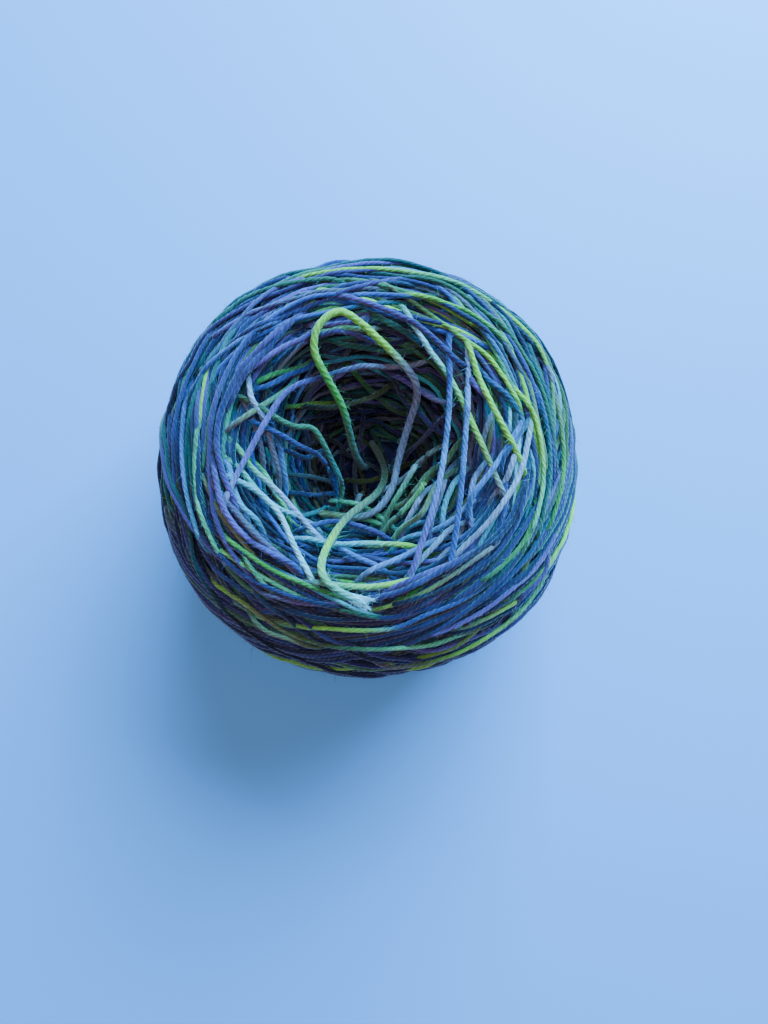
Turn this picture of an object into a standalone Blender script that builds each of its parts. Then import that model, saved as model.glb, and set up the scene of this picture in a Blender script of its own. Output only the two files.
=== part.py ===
"""Centre-pull cake of fingering yarn, wound on a ball winder and standing on its flat end.

Three pieces: the wound body, a slack loop of yarn drawn up from the centre pit and laid over
the back of the rim, and the loose end that lies over the front of the rim.
Metres, +Z up. The origin is the middle of the flat base.
"""
import math

import bmesh
import bpy
from mathutils import Vector

MM = 0.001

# --- driving dimensions -------------------------------------------------------------------
CAKE_RADIUS = 42.0 * MM        # at the widest turn
CAKE_HEIGHT = 60.0 * MM        # base to the top of the rim
BASE_RADIUS = 27.0 * MM        # flat end that the cake stands on
RIM_RADIUS = 25.2 * MM         # where the crown is highest
PIT_RADIUS = 11.3 * MM         # narrow waist of the centre pit
PIT_FLOOR = 16.0 * MM          # height of the pit's floor above the base
YARN_DIAMETER = 1.5 * MM       # slack yarn, as the loop and the loose end are

STEPS_AROUND = 84              # facets around the cake
STEPS_PER_SECTION = 4          # profile points between two rows of the profile table

# The turned outline, from the pit's floor over the rim and down the outer side to the base.
# Columns: name, radius, height.
PROFILE = (
    ("pit floor", 0.0, PIT_FLOOR),
    ("floor edge", 8.5 * MM, PIT_FLOOR + 2.5 * MM),
    ("pit waist", PIT_RADIUS, 0.50 * CAKE_HEIGHT),
    ("pit wall", 14.5 * MM, 0.725 * CAKE_HEIGHT),
    ("mouth", 20.0 * MM, CAKE_HEIGHT - 3.4 * MM),
    ("rim", RIM_RADIUS, CAKE_HEIGHT),
    ("crown", 32.0 * MM, CAKE_HEIGHT - 4.0 * MM),
    ("upper shoulder", 38.5 * MM, 0.75 * CAKE_HEIGHT),
    ("widest turn", CAKE_RADIUS, 0.45 * CAKE_HEIGHT),
    ("lower shoulder", 38.0 * MM, 0.15 * CAKE_HEIGHT),
    ("base edge", BASE_RADIUS, 0.0),
)

# How far the outline stands off a true circle. Columns: waves around, height, direction of a peak.
OUT_OF_ROUND = (
    (2, 0.3 * MM, 0.0),
    (4, 0.5 * MM, 45.0),
)

# The crossing bands of the winding: how many meet one turn, how steeply they climb, how high they stand.
BANDS_AROUND = 12
BAND_TURNS_PER_HEIGHT = 0.55
BAND_HEIGHT = 0.5 * MM
BAND_FADE = 6.0 * MM           # the bands die out over this height above the base and the pit's floor

# Centre line of the slack loop: up from the pit, over the back of the rim, down to the front wall.
SLACK_LOOP_ROUTE = (
    (-0.0009, 0.0024, 0.0184), (-0.0009, 0.0016, 0.0240), (-0.0009, 0.0009, 0.0290),
    (-0.0011, 0.0002, 0.0345), (-0.0015, 0.0001, 0.0395), (-0.0022, 0.0009, 0.0438),
    (-0.0028, 0.0025, 0.0475), (-0.0033, 0.0046, 0.0508), (-0.0041, 0.0075, 0.0537),
    (-0.0056, 0.0102, 0.0562), (-0.0073, 0.0130, 0.0583), (-0.0086, 0.0160, 0.0598),
    (-0.0082, 0.0190, 0.0610), (-0.0063, 0.0213, 0.0614), (-0.0041, 0.0221, 0.0613),
    (-0.0016, 0.0210, 0.0605), (0.0014, 0.0189, 0.0588), (0.0045, 0.0165, 0.0567),
    (0.0070, 0.0144, 0.0545), (0.0086, 0.0123, 0.0525), (0.0088, 0.0098, 0.0503),
    (0.0076, 0.0062, 0.0482), (0.0064, 0.0024, 0.0465), (0.0054, -0.0013, 0.0453),
    (0.0047, -0.0047, 0.0444), (0.0032, -0.0076, 0.0436), (0.0010, -0.0096, 0.0431),
    (-0.0016, -0.0105, 0.0428), (-0.0044, -0.0104, 0.0428), (-0.0072, -0.0100, 0.0433),
    (-0.0092, -0.0098, 0.0440),
)

# Centre line of the loose end: from the pit's back wall, across the pit and up over the front of the rim.
LOOSE_END_ROUTE = (
    (0.0003, 0.0076, 0.0205), (0.0007, 0.0063, 0.0240), (0.0016, 0.0041, 0.0285),
    (0.0026, 0.0015, 0.0330), (0.0032, -0.0015, 0.0375), (0.0026, -0.0045, 0.0415),
    (0.0012, -0.0068, 0.0450), (-0.0009, -0.0088, 0.0480), (-0.0030, -0.0108, 0.0508),
    (-0.0047, -0.0131, 0.0538), (-0.0060, -0.0156, 0.0566), (-0.0069, -0.0181, 0.0592),
    (-0.0071, -0.0204, 0.0610), (-0.0061, -0.0224, 0.0619), (-0.0040, -0.0240, 0.0622),
    (-0.0016, -0.0252, 0.0622), (0.0005, -0.0260, 0.0620), (0.0018, -0.0266, 0.0617),
)
CORD_POINT_SPACING = 2.0 * YARN_DIAMETER
SMOOTH_STEPS = 12              # steps between two route points when a cord's length is measured

# Colours of the yarn: base colour, roughness.
INDIGO = ((0.07, 0.09, 0.30), 0.9)
LEAF = ((0.42, 0.66, 0.20), 0.9)
SEA_GREEN = ((0.30, 0.60, 0.42), 0.9)


def clear_scene():
    """Empty the scene, so that the model starts from nothing."""
    for old in list(bpy.data.objects):
        bpy.data.objects.remove(old, do_unlink=True)


def make_collection(name):
    """A collection for the object, linked to the scene."""
    collection = bpy.data.collections.new(name)
    bpy.context.scene.collection.children.link(collection)
    return collection


def yarn_material(name, finish):
    """A plain matt finish in one of the yarn's colours."""
    colour, roughness = finish
    material = bpy.data.materials.new(name)
    material.use_nodes = True
    shader = material.node_tree.nodes["Principled BSDF"]
    shader.inputs["Base Color"].default_value = (*colour, 1.0)
    shader.inputs["Roughness"].default_value = roughness
    shader.inputs["Metallic"].default_value = 0.0
    material.diffuse_color = (*colour, 1.0)
    return material


def smooth_curve(points, steps):
    """Points on a Catmull-Rom curve through the given points, with so many steps between two of them."""
    knots = [Vector(point) for point in points]
    knots = [2 * knots[0] - knots[1]] + knots + [2 * knots[-1] - knots[-2]]
    curve = []
    for before, start, end, after in zip(knots, knots[1:], knots[2:], knots[3:]):
        for step in range(steps):
            t = step / steps
            curve.append(0.5 * (
                2 * start
                + (end - before) * t
                + (2 * before - 5 * start + 4 * end - after) * t ** 2
                + (3 * start - before - 3 * end + after) * t ** 3
            ))
    curve.append(knots[-2])
    return curve


def evenly_spaced(curve, spacing):
    """The same curve with its points about one spacing apart."""
    lengths = [0.0]
    for start, end in zip(curve, curve[1:]):
        lengths.append(lengths[-1] + (end - start).length)
    count = round(lengths[-1] / spacing)
    points = []
    leg = 0
    for index in range(count + 1):
        target = lengths[-1] * index / count
        while leg < len(curve) - 2 and lengths[leg + 1] < target:
            leg += 1
        share = (target - lengths[leg]) / (lengths[leg + 1] - lengths[leg])
        points.append(curve[leg].lerp(curve[leg + 1], share))
    return points


def turned_blank(name):
    """The cake as a true turned shape: the outline with a Screw modifier, applied and closed at its poles."""
    rows = [(radius, 0.0, height) for _, radius, height in PROFILE]
    outline = smooth_curve(rows, STEPS_PER_SECTION)
    outline.append(Vector((0.5 * BASE_RADIUS, 0.0, 0.0)))
    outline.append(Vector((0.0, 0.0, 0.0)))

    mesh = bpy.data.meshes.new(name + "_outline")
    edges = [(index, index + 1) for index in range(len(outline) - 1)]
    mesh.from_pydata(outline, edges, [])
    turned = bpy.data.objects.new(name + "_outline", mesh)
    bpy.context.scene.collection.objects.link(turned)

    screw = turned.modifiers.new("turn", "SCREW")
    screw.axis = "Z"
    screw.angle = 2 * math.pi
    screw.steps = STEPS_AROUND
    screw.render_steps = STEPS_AROUND
    screw.use_merge_vertices = True
    screw.merge_threshold = 0.0001

    evaluated = turned.evaluated_get(bpy.context.evaluated_depsgraph_get())
    blank = bpy.data.meshes.new_from_object(evaluated)
    bpy.data.objects.remove(turned, do_unlink=True)
    return blank


def out_of_round(angle, radius):
    """How far a point moves outwards so that the cake is a little uneven, less and less towards the axis."""
    push = 0.0
    for waves, height, peak in OUT_OF_ROUND:
        push += height * math.cos(waves * (angle - math.radians(peak)))
    return push * min(1.0, radius / CAKE_RADIUS)


def band_height(angle, radius, height):
    """How far the crossing bands of the winding stand off the turned shape at a point."""
    climb = 2 * math.pi * BAND_TURNS_PER_HEIGHT * BANDS_AROUND * height / CAKE_HEIGHT
    rising = math.cos(BANDS_AROUND * angle + climb)
    falling = math.cos(BANDS_AROUND * angle - climb)
    inside = radius < RIM_RADIUS
    floor = PIT_FLOOR if inside else 0.0
    fade = min(1.0, max(0.0, (height - floor) / BAND_FADE))
    return 0.5 * BAND_HEIGHT * (rising + falling) * fade


def make_wound_body(collection):
    """The wound yarn: a turned blank with the bands of the winding and an uneven outline."""
    mesh = turned_blank("wound_body")
    shape = bmesh.new()
    shape.from_mesh(mesh)
    bmesh.ops.remove_doubles(shape, verts=shape.verts, dist=0.00001)
    shape.normal_update()
    moves = []
    for vertex in shape.verts:
        radius = math.hypot(vertex.co.x, vertex.co.y)
        if radius < 0.1 * MM:
            continue
        angle = math.atan2(vertex.co.y, vertex.co.x)
        outwards = Vector((math.cos(angle), math.sin(angle), 0.0))
        move = outwards * out_of_round(angle, radius)
        move += vertex.normal * band_height(angle, radius, vertex.co.z)
        moves.append((vertex, move))
    for vertex, move in moves:
        vertex.co += move
    bmesh.ops.triangulate(shape, faces=shape.faces)
    shape.to_mesh(mesh)
    shape.free()
    mesh.shade_smooth()

    body = bpy.data.objects.new("wound_body", mesh)
    body.data.materials.append(yarn_material("wound_yarn", INDIGO))
    collection.objects.link(body)
    return body


def make_cord(name, route, finish, collection):
    """A length of slack yarn: a round tube along a smooth curve through its route."""
    path = evenly_spaced(smooth_curve(route, SMOOTH_STEPS), CORD_POINT_SPACING)
    curve = bpy.data.curves.new(name, "CURVE")
    curve.dimensions = "3D"
    curve.bevel_depth = 0.5 * YARN_DIAMETER
    curve.bevel_resolution = 2
    curve.use_fill_caps = True
    spline = curve.splines.new("POLY")
    spline.points.add(len(path) - 1)
    for knot, place in zip(spline.points, path):
        knot.co = (*place, 1.0)
    cord = bpy.data.objects.new(name, curve)
    cord.data.materials.append(yarn_material(name + "_yarn", finish))
    collection.objects.link(cord)
    return cord


def main():
    """Build the cake and its two free lengths of yarn."""
    clear_scene()
    collection = make_collection("yarn_cake")
    make_wound_body(collection)
    make_cord("slack_loop", SLACK_LOOP_ROUTE, LEAF, collection)
    make_cord("loose_end", LOOSE_END_ROUTE, SEA_GREEN, collection)


main()
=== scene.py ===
"""Centre-pull cake of space-dyed fingering yarn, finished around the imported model.

The winding is made the way a ball winder lays it: one yarn goes round and round on a tilted path,
each turn rides on the pile below it, and a few slack strands bridge the pit and the crown last.
Metres, +Z up, the origin in the middle of the flat base.
"""
import logging
import math
from dataclasses import dataclass, field
from enum import Enum
from typing import Any, Iterable, Sequence

import bmesh
import bpy
import numpy as np
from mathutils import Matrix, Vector


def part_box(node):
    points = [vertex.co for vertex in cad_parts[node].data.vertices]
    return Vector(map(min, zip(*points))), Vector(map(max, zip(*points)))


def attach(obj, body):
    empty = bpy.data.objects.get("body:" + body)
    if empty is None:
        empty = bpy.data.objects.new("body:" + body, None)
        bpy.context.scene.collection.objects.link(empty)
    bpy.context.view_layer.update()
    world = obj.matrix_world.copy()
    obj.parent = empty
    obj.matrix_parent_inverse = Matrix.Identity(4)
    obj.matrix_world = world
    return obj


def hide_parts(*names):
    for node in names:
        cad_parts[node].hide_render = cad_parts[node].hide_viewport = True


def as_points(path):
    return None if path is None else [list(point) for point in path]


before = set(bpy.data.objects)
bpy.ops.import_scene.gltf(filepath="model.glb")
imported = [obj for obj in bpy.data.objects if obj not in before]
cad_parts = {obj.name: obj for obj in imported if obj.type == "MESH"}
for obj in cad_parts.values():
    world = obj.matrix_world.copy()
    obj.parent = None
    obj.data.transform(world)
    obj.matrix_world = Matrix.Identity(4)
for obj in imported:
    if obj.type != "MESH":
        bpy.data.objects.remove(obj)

MM = 0.001
UP = (0.0, 0.0, 1.0)
BODY = "root"
BRIGHTEST_DYE = 0.95
ABOVE_THE_TABLE = 1.2  # least height of a centre line, as a share of the yarn's half height
SEEDS_PER_METRE = 1e6
TINY = 1e-9  # keeps a division from failing
LOG = logging.getLogger("yarn_cake")


# --- the yarn -----------------------------------------------------------------------------

class Dye(Enum):
    """The colours that the yarn was dyed, as linear red, green and blue."""

    NAVY = (0.016, 0.019, 0.052)
    INDIGO = (0.037, 0.032, 0.132)
    COBALT = (0.036, 0.070, 0.255)
    PURPLE = (0.082, 0.042, 0.168)
    LAVENDER = (0.176, 0.089, 0.335)
    PALE_BLUE = (0.110, 0.230, 0.500)
    GREY_BLUE = (0.110, 0.105, 0.140)
    GREY = (0.240, 0.185, 0.260)
    SILVER = (0.360, 0.390, 0.530)
    CHARCOAL = (0.036, 0.032, 0.036)
    TEAL = (0.020, 0.110, 0.100)
    SEA_GREEN = (0.055, 0.160, 0.070)
    AQUA = (0.080, 0.400, 0.420)
    FROST = (0.300, 0.600, 0.640)
    MINT = (0.150, 0.480, 0.200)
    LEAF = (0.060, 0.360, 0.045)
    LIME = (0.285, 0.630, 0.070)
    MOSS = (0.205, 0.220, 0.095)
    OLIVE = (0.105, 0.150, 0.040)


(
    NAVY, INDIGO, COBALT, PURPLE, LAVENDER, PALE_BLUE, GREY_BLUE, GREY, SILVER, CHARCOAL, TEAL,
    SEA_GREEN, AQUA, FROST, MINT, LEAF, LIME, MOSS, OLIVE,
) = Dye


class Mix(Enum):
    """How much of each dye a stretch of the winding holds, as shares that need not add up to one."""

    OUTER = {
        NAVY: 8, INDIGO: 8, COBALT: 5, PURPLE: 4, LAVENDER: 3, GREY_BLUE: 2, GREY: 1, CHARCOAL: 1,
        TEAL: 4, SEA_GREEN: 4, LIME: 2, LEAF: 1, OLIVE: 2, MOSS: 1, PALE_BLUE: 1, MINT: 1, AQUA: 1,
    }
    INNER = {
        NAVY: 4, INDIGO: 6, COBALT: 5, PURPLE: 3, LAVENDER: 4, GREY_BLUE: 6, GREY: 4, CHARCOAL: 2,
        TEAL: 3, SEA_GREEN: 4, AQUA: 1, MINT: 1, LEAF: 1, MOSS: 4, OLIVE: 2, PALE_BLUE: 2, SILVER: 1,
    }
    DEEP = {
        NAVY: 2, INDIGO: 4, CHARCOAL: 1, TEAL: 3, OLIVE: 3, GREY_BLUE: 6, COBALT: 4, PURPLE: 2,
        SEA_GREEN: 5, MOSS: 6, GREY: 6, LAVENDER: 4, SILVER: 2,
    }


@dataclass(frozen=True)
class Pool:
    """A side of the cake where some of the dyes gather, as they do in hand-dyed yarn.

    Args:
        direction: the middle of that side, in degrees.
        spread: how far round it reaches to either hand, in degrees.
        dyes: those that gather there.
        times: how many times likelier they are in its middle.
    """

    direction: float
    spread: float
    dyes: tuple[Dye, ...]
    times: float

    def favour(self, dyes: Sequence[Dye], theta: np.ndarray) -> np.ndarray:
        """How many times likelier each dye is at each direction.

        Args:
            dyes: the dyes to choose from.
            theta: directions round the cake.

        Returns:
            One row per direction, one column per dye.
        """
        away = np.abs((np.degrees(theta) - self.direction + 180.0) % 360.0 - 180.0)
        near = np.clip(1.0 - away / self.spread, 0.0, 1.0)
        gathers = np.array([dye in self.dyes for dye in dyes], float)
        return 1.0 + (self.times - 1.0) * near[:, None] * gathers[None, :]


POOLS = (
    Pool(50.0, 60.0, (LIME, PALE_BLUE, TEAL, SEA_GREEN, MINT, AQUA), 6.0),
    Pool(0.0, 40.0, (LIME, SEA_GREEN, TEAL, LAVENDER), 2.5),
    Pool(-45.0, 50.0, (NAVY, INDIGO, PURPLE), 6.0),
    Pool(-90.0, 45.0, (NAVY, CHARCOAL, OLIVE), 4.0),
    Pool(-135.0, 50.0, (NAVY, INDIGO), 6.0),
    Pool(180.0, 40.0, (NAVY, COBALT, TEAL), 2.5),
    Pool(130.0, 40.0, (PURPLE, LAVENDER, INDIGO), 3.0),
)


@dataclass(frozen=True)
class Yarn:
    """A plied yarn and the fineness at which it is modelled."""

    half_width: float = 0.43 * MM
    half_height: float = 0.40 * MM
    plies: int = 4
    pitch: float = 4.8 * MM
    valley: float = 0.10
    columns: int = 6
    ring_gap: float = 0.5 * MM
    keep_every: int = 4
    twisted: bool = False
    taper: float = 1.2 * MM
    unevenness: float = 0.06

    def section(self) -> np.ndarray:
        """How far out each column stands, as a share of the half width: ply crests and valleys.

        Returns:
            One number per column, the last one the same as the first.
        """
        if not self.twisted:
            return np.ones(self.columns + 1)
        around = np.arange(self.columns + 1) / self.columns
        wave = 0.5 - 0.5 * np.cos(2 * np.pi * self.plies * around)
        return 1.0 - self.valley * (1.0 - wave)

    def turning(self, along: np.ndarray) -> np.ndarray:
        """How many times the plies have gone round at each length."""
        return along / self.pitch


TAUT_YARN = Yarn()
BRIDGE_YARN = Yarn(
    half_width=0.50 * MM, half_height=0.49 * MM, valley=0.06, columns=12, keep_every=1, twisted=True,
)
RIM_YARN = Yarn(
    half_width=0.39 * MM, half_height=0.39 * MM, valley=0.03, columns=12, keep_every=1, twisted=True,
)
SLACK_YARN = Yarn(
    half_width=0.66 * MM, half_height=0.66 * MM, pitch=5.8 * MM, valley=0.06, columns=12,
    ring_gap=0.45 * MM, keep_every=1, twisted=True,
)
PLY = Yarn(half_width=0.34 * MM, half_height=0.30 * MM, keep_every=1, taper=3.5 * MM)
HAIR = Yarn(
    half_width=0.018 * MM, half_height=0.018 * MM, columns=3, keep_every=1, taper=0.05 * MM,
    unevenness=0.0,
)


@dataclass
class Strand:
    """One visible stretch of yarn.

    Args:
        points: centre line, one row per ring.
        outward: the way out of the cake at each ring.
        along: length of yarn up to each ring.
        dye: colour at each ring.
        yarn: the yarn it is made of.
    """

    points: np.ndarray
    outward: np.ndarray
    along: np.ndarray
    dye: np.ndarray
    yarn: Yarn

    def __len__(self) -> int:
        """How many rings the strand has."""
        return len(self.points)

    def rings(self) -> np.ndarray:
        """Places the twisted section along the centre line.

        Returns:
            Points, rings by columns by 3; the first and last column of a ring are the same point.
        """
        forward = unit(np.gradient(self.points, axis=0))
        normal = unit(self.outward - forward * np.sum(self.outward * forward, axis=1, keepdims=True))
        sideways = np.cross(forward, normal)
        around = np.arange(self.yarn.columns + 1) % self.yarn.columns / self.yarn.columns
        turned = self.yarn.turning(self.along)[:, None] if self.yarn.twisted else 0.0
        angle = 2 * np.pi * (around[None, :] - turned)
        section = self.yarn.section()[None, :] * self.end_taper()[:, None] * self.lumps()
        out = (section * self.yarn.half_height * np.cos(angle))[..., None] * normal[:, None, :]
        side = (section * self.yarn.half_width * np.sin(angle))[..., None] * sideways[:, None, :]
        return self.points[:, None, :] + out + side

    def lumps(self) -> np.ndarray:
        """How much thicker or thinner the yarn is at each ring and column, as soft wool is.

        Returns:
            One factor for each ring and column.
        """
        dice = np.random.default_rng(int(SEEDS_PER_METRE * abs(self.points[0, 0])) + len(self))
        rough = 1.0 + self.yarn.unevenness * dice.normal(0.0, 1.0, (len(self), self.yarn.columns))
        return np.column_stack([rough, rough[:, 0]])

    def ply_place(self, around: np.ndarray) -> np.ndarray:
        """Where each point lies around the yarn, counted so that a ply keeps its number all along."""
        turned = np.zeros(len(self)) if self.yarn.twisted else self.yarn.turning(self.along)
        return (turned[:, None] + around[None, :]).ravel()

    def end_taper(self) -> np.ndarray:
        """Share of the full section at each ring: both ends close to a point.

        Returns:
            One factor per ring.
        """
        to_end = np.minimum(self.along - self.along[0], self.along[-1] - self.along)
        share = np.clip(to_end / self.yarn.taper, 0.0, 1.0)
        return np.sqrt(1.0 - (1.0 - share) ** 2)


class DyeRun:
    """The colours along one length of yarn: plateaus of a dye with short fades between them."""

    SHORTEST = 22 * MM
    LONGEST = 60 * MM
    SURE_TO_FILL = 20 * MM
    SHADES = (0.65, 1.30)
    PLATEAU = (0.25, 0.75)

    def __init__(self, places: np.ndarray, colours: np.ndarray) -> None:
        """Keeps the knots of the run.

        Args:
            places: length along the yarn of each knot.
            colours: linear colour at each knot.
        """
        self.places = places
        self.colours = colours

    @classmethod
    def by_chance(cls, length: float, mix: Mix, theta: np.ndarray, dice: np.random.Generator) -> "DyeRun":
        """Dyes a length in stretches of random colour and length.

        Args:
            length: how much yarn there is.
            mix: the dyes to choose from.
            theta: directions round the cake, evenly spread over the length.
            dice: what decides.

        Returns:
            The colours along the yarn.
        """
        dyes = list(mix.value)
        count = int(length / cls.SURE_TO_FILL) + 2
        luck = dice.random(count)
        stretches = dice.uniform(cls.SHORTEST, cls.LONGEST, size=count)
        shades = dice.uniform(*cls.SHADES, size=count)
        middles = np.cumsum(stretches) - 0.5 * stretches
        shares = np.tile(np.array([mix.value[dye] for dye in dyes], float), (count, 1))
        for pool in POOLS:
            shares *= pool.favour(dyes, np.interp(middles, np.linspace(0.0, length, len(theta)), theta))
        ladder = np.cumsum(shares, axis=1) / shares.sum(axis=1, keepdims=True)
        picks = np.sum(luck[:, None] > ladder[:, :-1], axis=1)
        places, colours, start = [], [], 0.0
        for pick, stretch, shade in zip(picks, stretches, shades):
            colour = np.array(dyes[pick].value) * shade
            places += [start + share * stretch for share in cls.PLATEAU]
            colours += [colour, colour]
            start += stretch
        return cls(np.array(places), np.array(colours))

    @classmethod
    def in_order(cls, length: float, dyes: Sequence[Dye]) -> "DyeRun":
        """Dyes a length in the given colours, one after the other, evenly spread."""
        places = np.linspace(0.0, length, len(dyes))
        return cls(places, np.array([dye.value for dye in dyes]))

    def at(self, along: np.ndarray) -> np.ndarray:
        """The colour at each length along the yarn."""
        return np.stack([np.interp(along, self.places, self.colours[:, c]) for c in range(3)], axis=1)


# --- curves -------------------------------------------------------------------------------

def unit(vectors: np.ndarray) -> np.ndarray:
    """The vectors at length one."""
    return vectors / np.maximum(np.linalg.norm(vectors, axis=-1, keepdims=True), TINY)


def smooth_curve(points: Sequence[Sequence[float]], steps: int) -> np.ndarray:
    """Points on a Catmull-Rom curve through the given points.

    Args:
        points: the points that the curve goes through.
        steps: how many steps lie between two of them.

    Returns:
        The curve's points, one row each.
    """
    knots = np.asarray(points, float)
    knots = np.vstack([2 * knots[0] - knots[1], knots, 2 * knots[-1] - knots[-2]])
    t = (np.arange(steps) / steps)[:, None]
    legs = []
    for before, start, end, after in zip(knots, knots[1:], knots[2:], knots[3:]):
        legs.append(0.5 * (
            2 * start
            + (end - before) * t
            + (2 * before - 5 * start + 4 * end - after) * t ** 2
            + (3 * start - before - 3 * end + after) * t ** 3
        ))
    return np.vstack(legs + [knots[-2:-1]])


def lengths_along(points: np.ndarray) -> np.ndarray:
    """The length of the line up to each of its points."""
    return np.concatenate([[0.0], np.cumsum(np.linalg.norm(np.diff(points, axis=0), axis=1))])


def evenly_spaced(points: np.ndarray, gap: float) -> np.ndarray:
    """The same line with its points one gap apart, or as near as its length allows.

    Args:
        points: the line, one row per point.
        gap: the distance wanted between two points.

    Returns:
        The new points, one row each.
    """
    along = lengths_along(points)
    count = max(2, int(round(along[-1] / gap)) + 1)
    places = np.linspace(0.0, along[-1], count)
    return np.stack([np.interp(places, along, points[:, c]) for c in range(points.shape[1])], axis=1)


def taut(heights: np.ndarray, gap: float, bend: float, reach: float) -> np.ndarray:
    """Pulls a strand tight over what it lies on, so that it bends no sharper than its stiffness allows.

    Args:
        heights: lowest height at which the strand clears what lies below, at each ring.
        gap: spacing of the rings.
        bend: radius of the sharpest bend over a bump.
        reach: how far to either side of a bump the strand is held up.

    Returns:
        The strand's height at each ring.
    """
    steps = max(1, int(reach / gap))
    padded = np.pad(heights, steps, mode="edge")
    best = heights.copy()
    for step in range(1, steps + 1):
        drop = (step * gap) ** 2 / (2 * bend)
        best = np.maximum(best, padded[steps + step: steps + step + len(heights)] - drop)
        best = np.maximum(best, padded[steps - step: steps - step + len(heights)] - drop)
    return best


def upper_hull(places: np.ndarray, heights: np.ndarray) -> np.ndarray:
    """The string pulled tight over a terrain: its lowest hull from above, at each place.

    Args:
        places: lengths along the string.
        heights: the terrain below it at each place.

    Returns:
        The string's height at each place.
    """
    hull: list[int] = []
    for index in range(len(places)):
        while len(hull) > 1:
            a, b = hull[-2], hull[-1]
            rise = (heights[b] - heights[a]) * (places[index] - places[a])
            if rise > (heights[index] - heights[a]) * (places[b] - places[a]):
                break
            hull.pop()
        hull.append(index)
    return np.interp(places, places[hull], heights[hull])


def carried_frame(points: np.ndarray, start: Sequence[float]) -> np.ndarray:
    """A direction across the line at each point, carried along it without turning round it.

    Args:
        points: the line, one row per point.
        start: a direction across its start, more or less.

    Returns:
        One direction per point.
    """
    across = np.empty_like(points)
    carried = np.array(start, float)
    for index, way in enumerate(unit(np.gradient(points, axis=0))):
        carried = carried - way * np.dot(carried, way)
        carried /= np.linalg.norm(carried)
        across[index] = carried
    return across


# --- the form of the cake -----------------------------------------------------------------

# Columns: name, reach as a share of the cake's radius, level as a share of its height.
OUTLINE = (
    ("pit floor", 0.0, 0.267),
    ("floor edge", 0.202, 0.308),
    ("pit waist", 0.269, 0.50),
    ("pit wall", 0.345, 0.725),
    ("mouth", 0.476, 0.943),
    ("rim", 0.60, 1.0),
    ("crown", 0.762, 0.933),
    ("upper shoulder", 0.917, 0.75),
    ("widest turn", 1.0, 0.45),
    ("lower shoulder", 0.905, 0.15),
    ("base edge", 0.643, 0.0),
    ("base middle", 0.0, 0.0),
)

# Columns: waves around, height, direction of a peak in degrees.
OUT_OF_ROUND = (
    (2, 0.3 * MM, 0.0),
    (4, 0.5 * MM, 45.0),
)


class CakeForm:
    """The cake's outer surface: a turned outline, a little out of round."""

    STEPS = 24
    SAMPLES = 900

    def __init__(self, low: Sequence[float], high: Sequence[float]) -> None:
        """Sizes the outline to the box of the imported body.

        Args:
            low: lowest corner of the body's box.
            high: highest corner of the body's box.
        """
        self.radius = 0.5 * (high[0] - low[0])
        self.height = high[2] - low[2]
        rows = [(reach * self.radius, level * self.height) for _, reach, level in OUTLINE]
        curve = smooth_curve(rows[:-1], self.STEPS)
        base = np.linspace(rows[-2], rows[-1], self.STEPS)[1:]
        line = np.vstack([curve, base])
        along = lengths_along(line)
        self.length = along[-1]
        self.marks = {row[0]: along[index * self.STEPS] for index, row in enumerate(OUTLINE[:-1])}
        self.marks["base middle"] = self.length
        self.s = np.linspace(0.0, self.length, self.SAMPLES)
        self.r = np.interp(self.s, along, line[:, 0])
        self.z = np.interp(self.s, along, line[:, 1])
        slope_r = np.gradient(self.r, self.s)
        slope_z = np.gradient(self.z, self.s)
        size = np.hypot(slope_r, slope_z)
        self.normal_r = -slope_z / size
        self.normal_z = slope_r / size

    def radius_at(self, s: np.ndarray) -> np.ndarray:
        """Distance from the axis at each place along the outline."""
        return np.interp(s, self.s, self.r)

    def place(self, s: np.ndarray, theta: np.ndarray, height: np.ndarray) -> np.ndarray:
        """The point at a place along the outline, a direction round it and a height above it.

        Args:
            s: places along the outline.
            theta: directions round the cake.
            height: heights above the surface.

        Returns:
            One point per place.
        """
        r = np.interp(s, self.s, self.r) + height * np.interp(s, self.s, self.normal_r)
        z = np.interp(s, self.s, self.z) + height * np.interp(s, self.s, self.normal_z)
        push = np.zeros_like(r)
        for waves, size, peak in OUT_OF_ROUND:
            push += size * np.cos(waves * (theta - math.radians(peak)))
        r = r + push * np.minimum(1.0, r / self.radius)
        return np.stack([r * np.cos(theta), r * np.sin(theta), z], axis=-1)

    def outward(self, s: np.ndarray, theta: np.ndarray) -> np.ndarray:
        """The way straight out of the surface.

        Args:
            s: places along the outline.
            theta: directions round the cake.

        Returns:
            One direction per place.
        """
        flat = np.interp(s, self.s, self.normal_r)
        up = np.interp(s, self.s, self.normal_z)
        return np.stack([flat * np.cos(theta), flat * np.sin(theta), up], axis=-1)

    def top_at(self, radius: np.ndarray) -> np.ndarray:
        """Height of the pit or the crown at each distance from the axis."""
        upper = self.s < self.marks["widest turn"]
        return np.interp(radius, self.r[upper], self.z[upper])

    def outward_above(self, plan: np.ndarray) -> np.ndarray:
        """The way out of the surface at places on the crown or in the funnel, seen from above.

        Args:
            plan: x and y of each place.

        Returns:
            One direction per place.
        """
        upper = (self.s > self.marks["pit waist"]) & (self.s < self.marks["widest turn"])
        s = np.interp(np.hypot(plan[:, 0], plan[:, 1]), self.r[upper], self.s[upper])
        return self.outward(s, np.arctan2(plan[:, 1], plan[:, 0]))


Footprint = tuple[np.ndarray, np.ndarray, np.ndarray]


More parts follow.
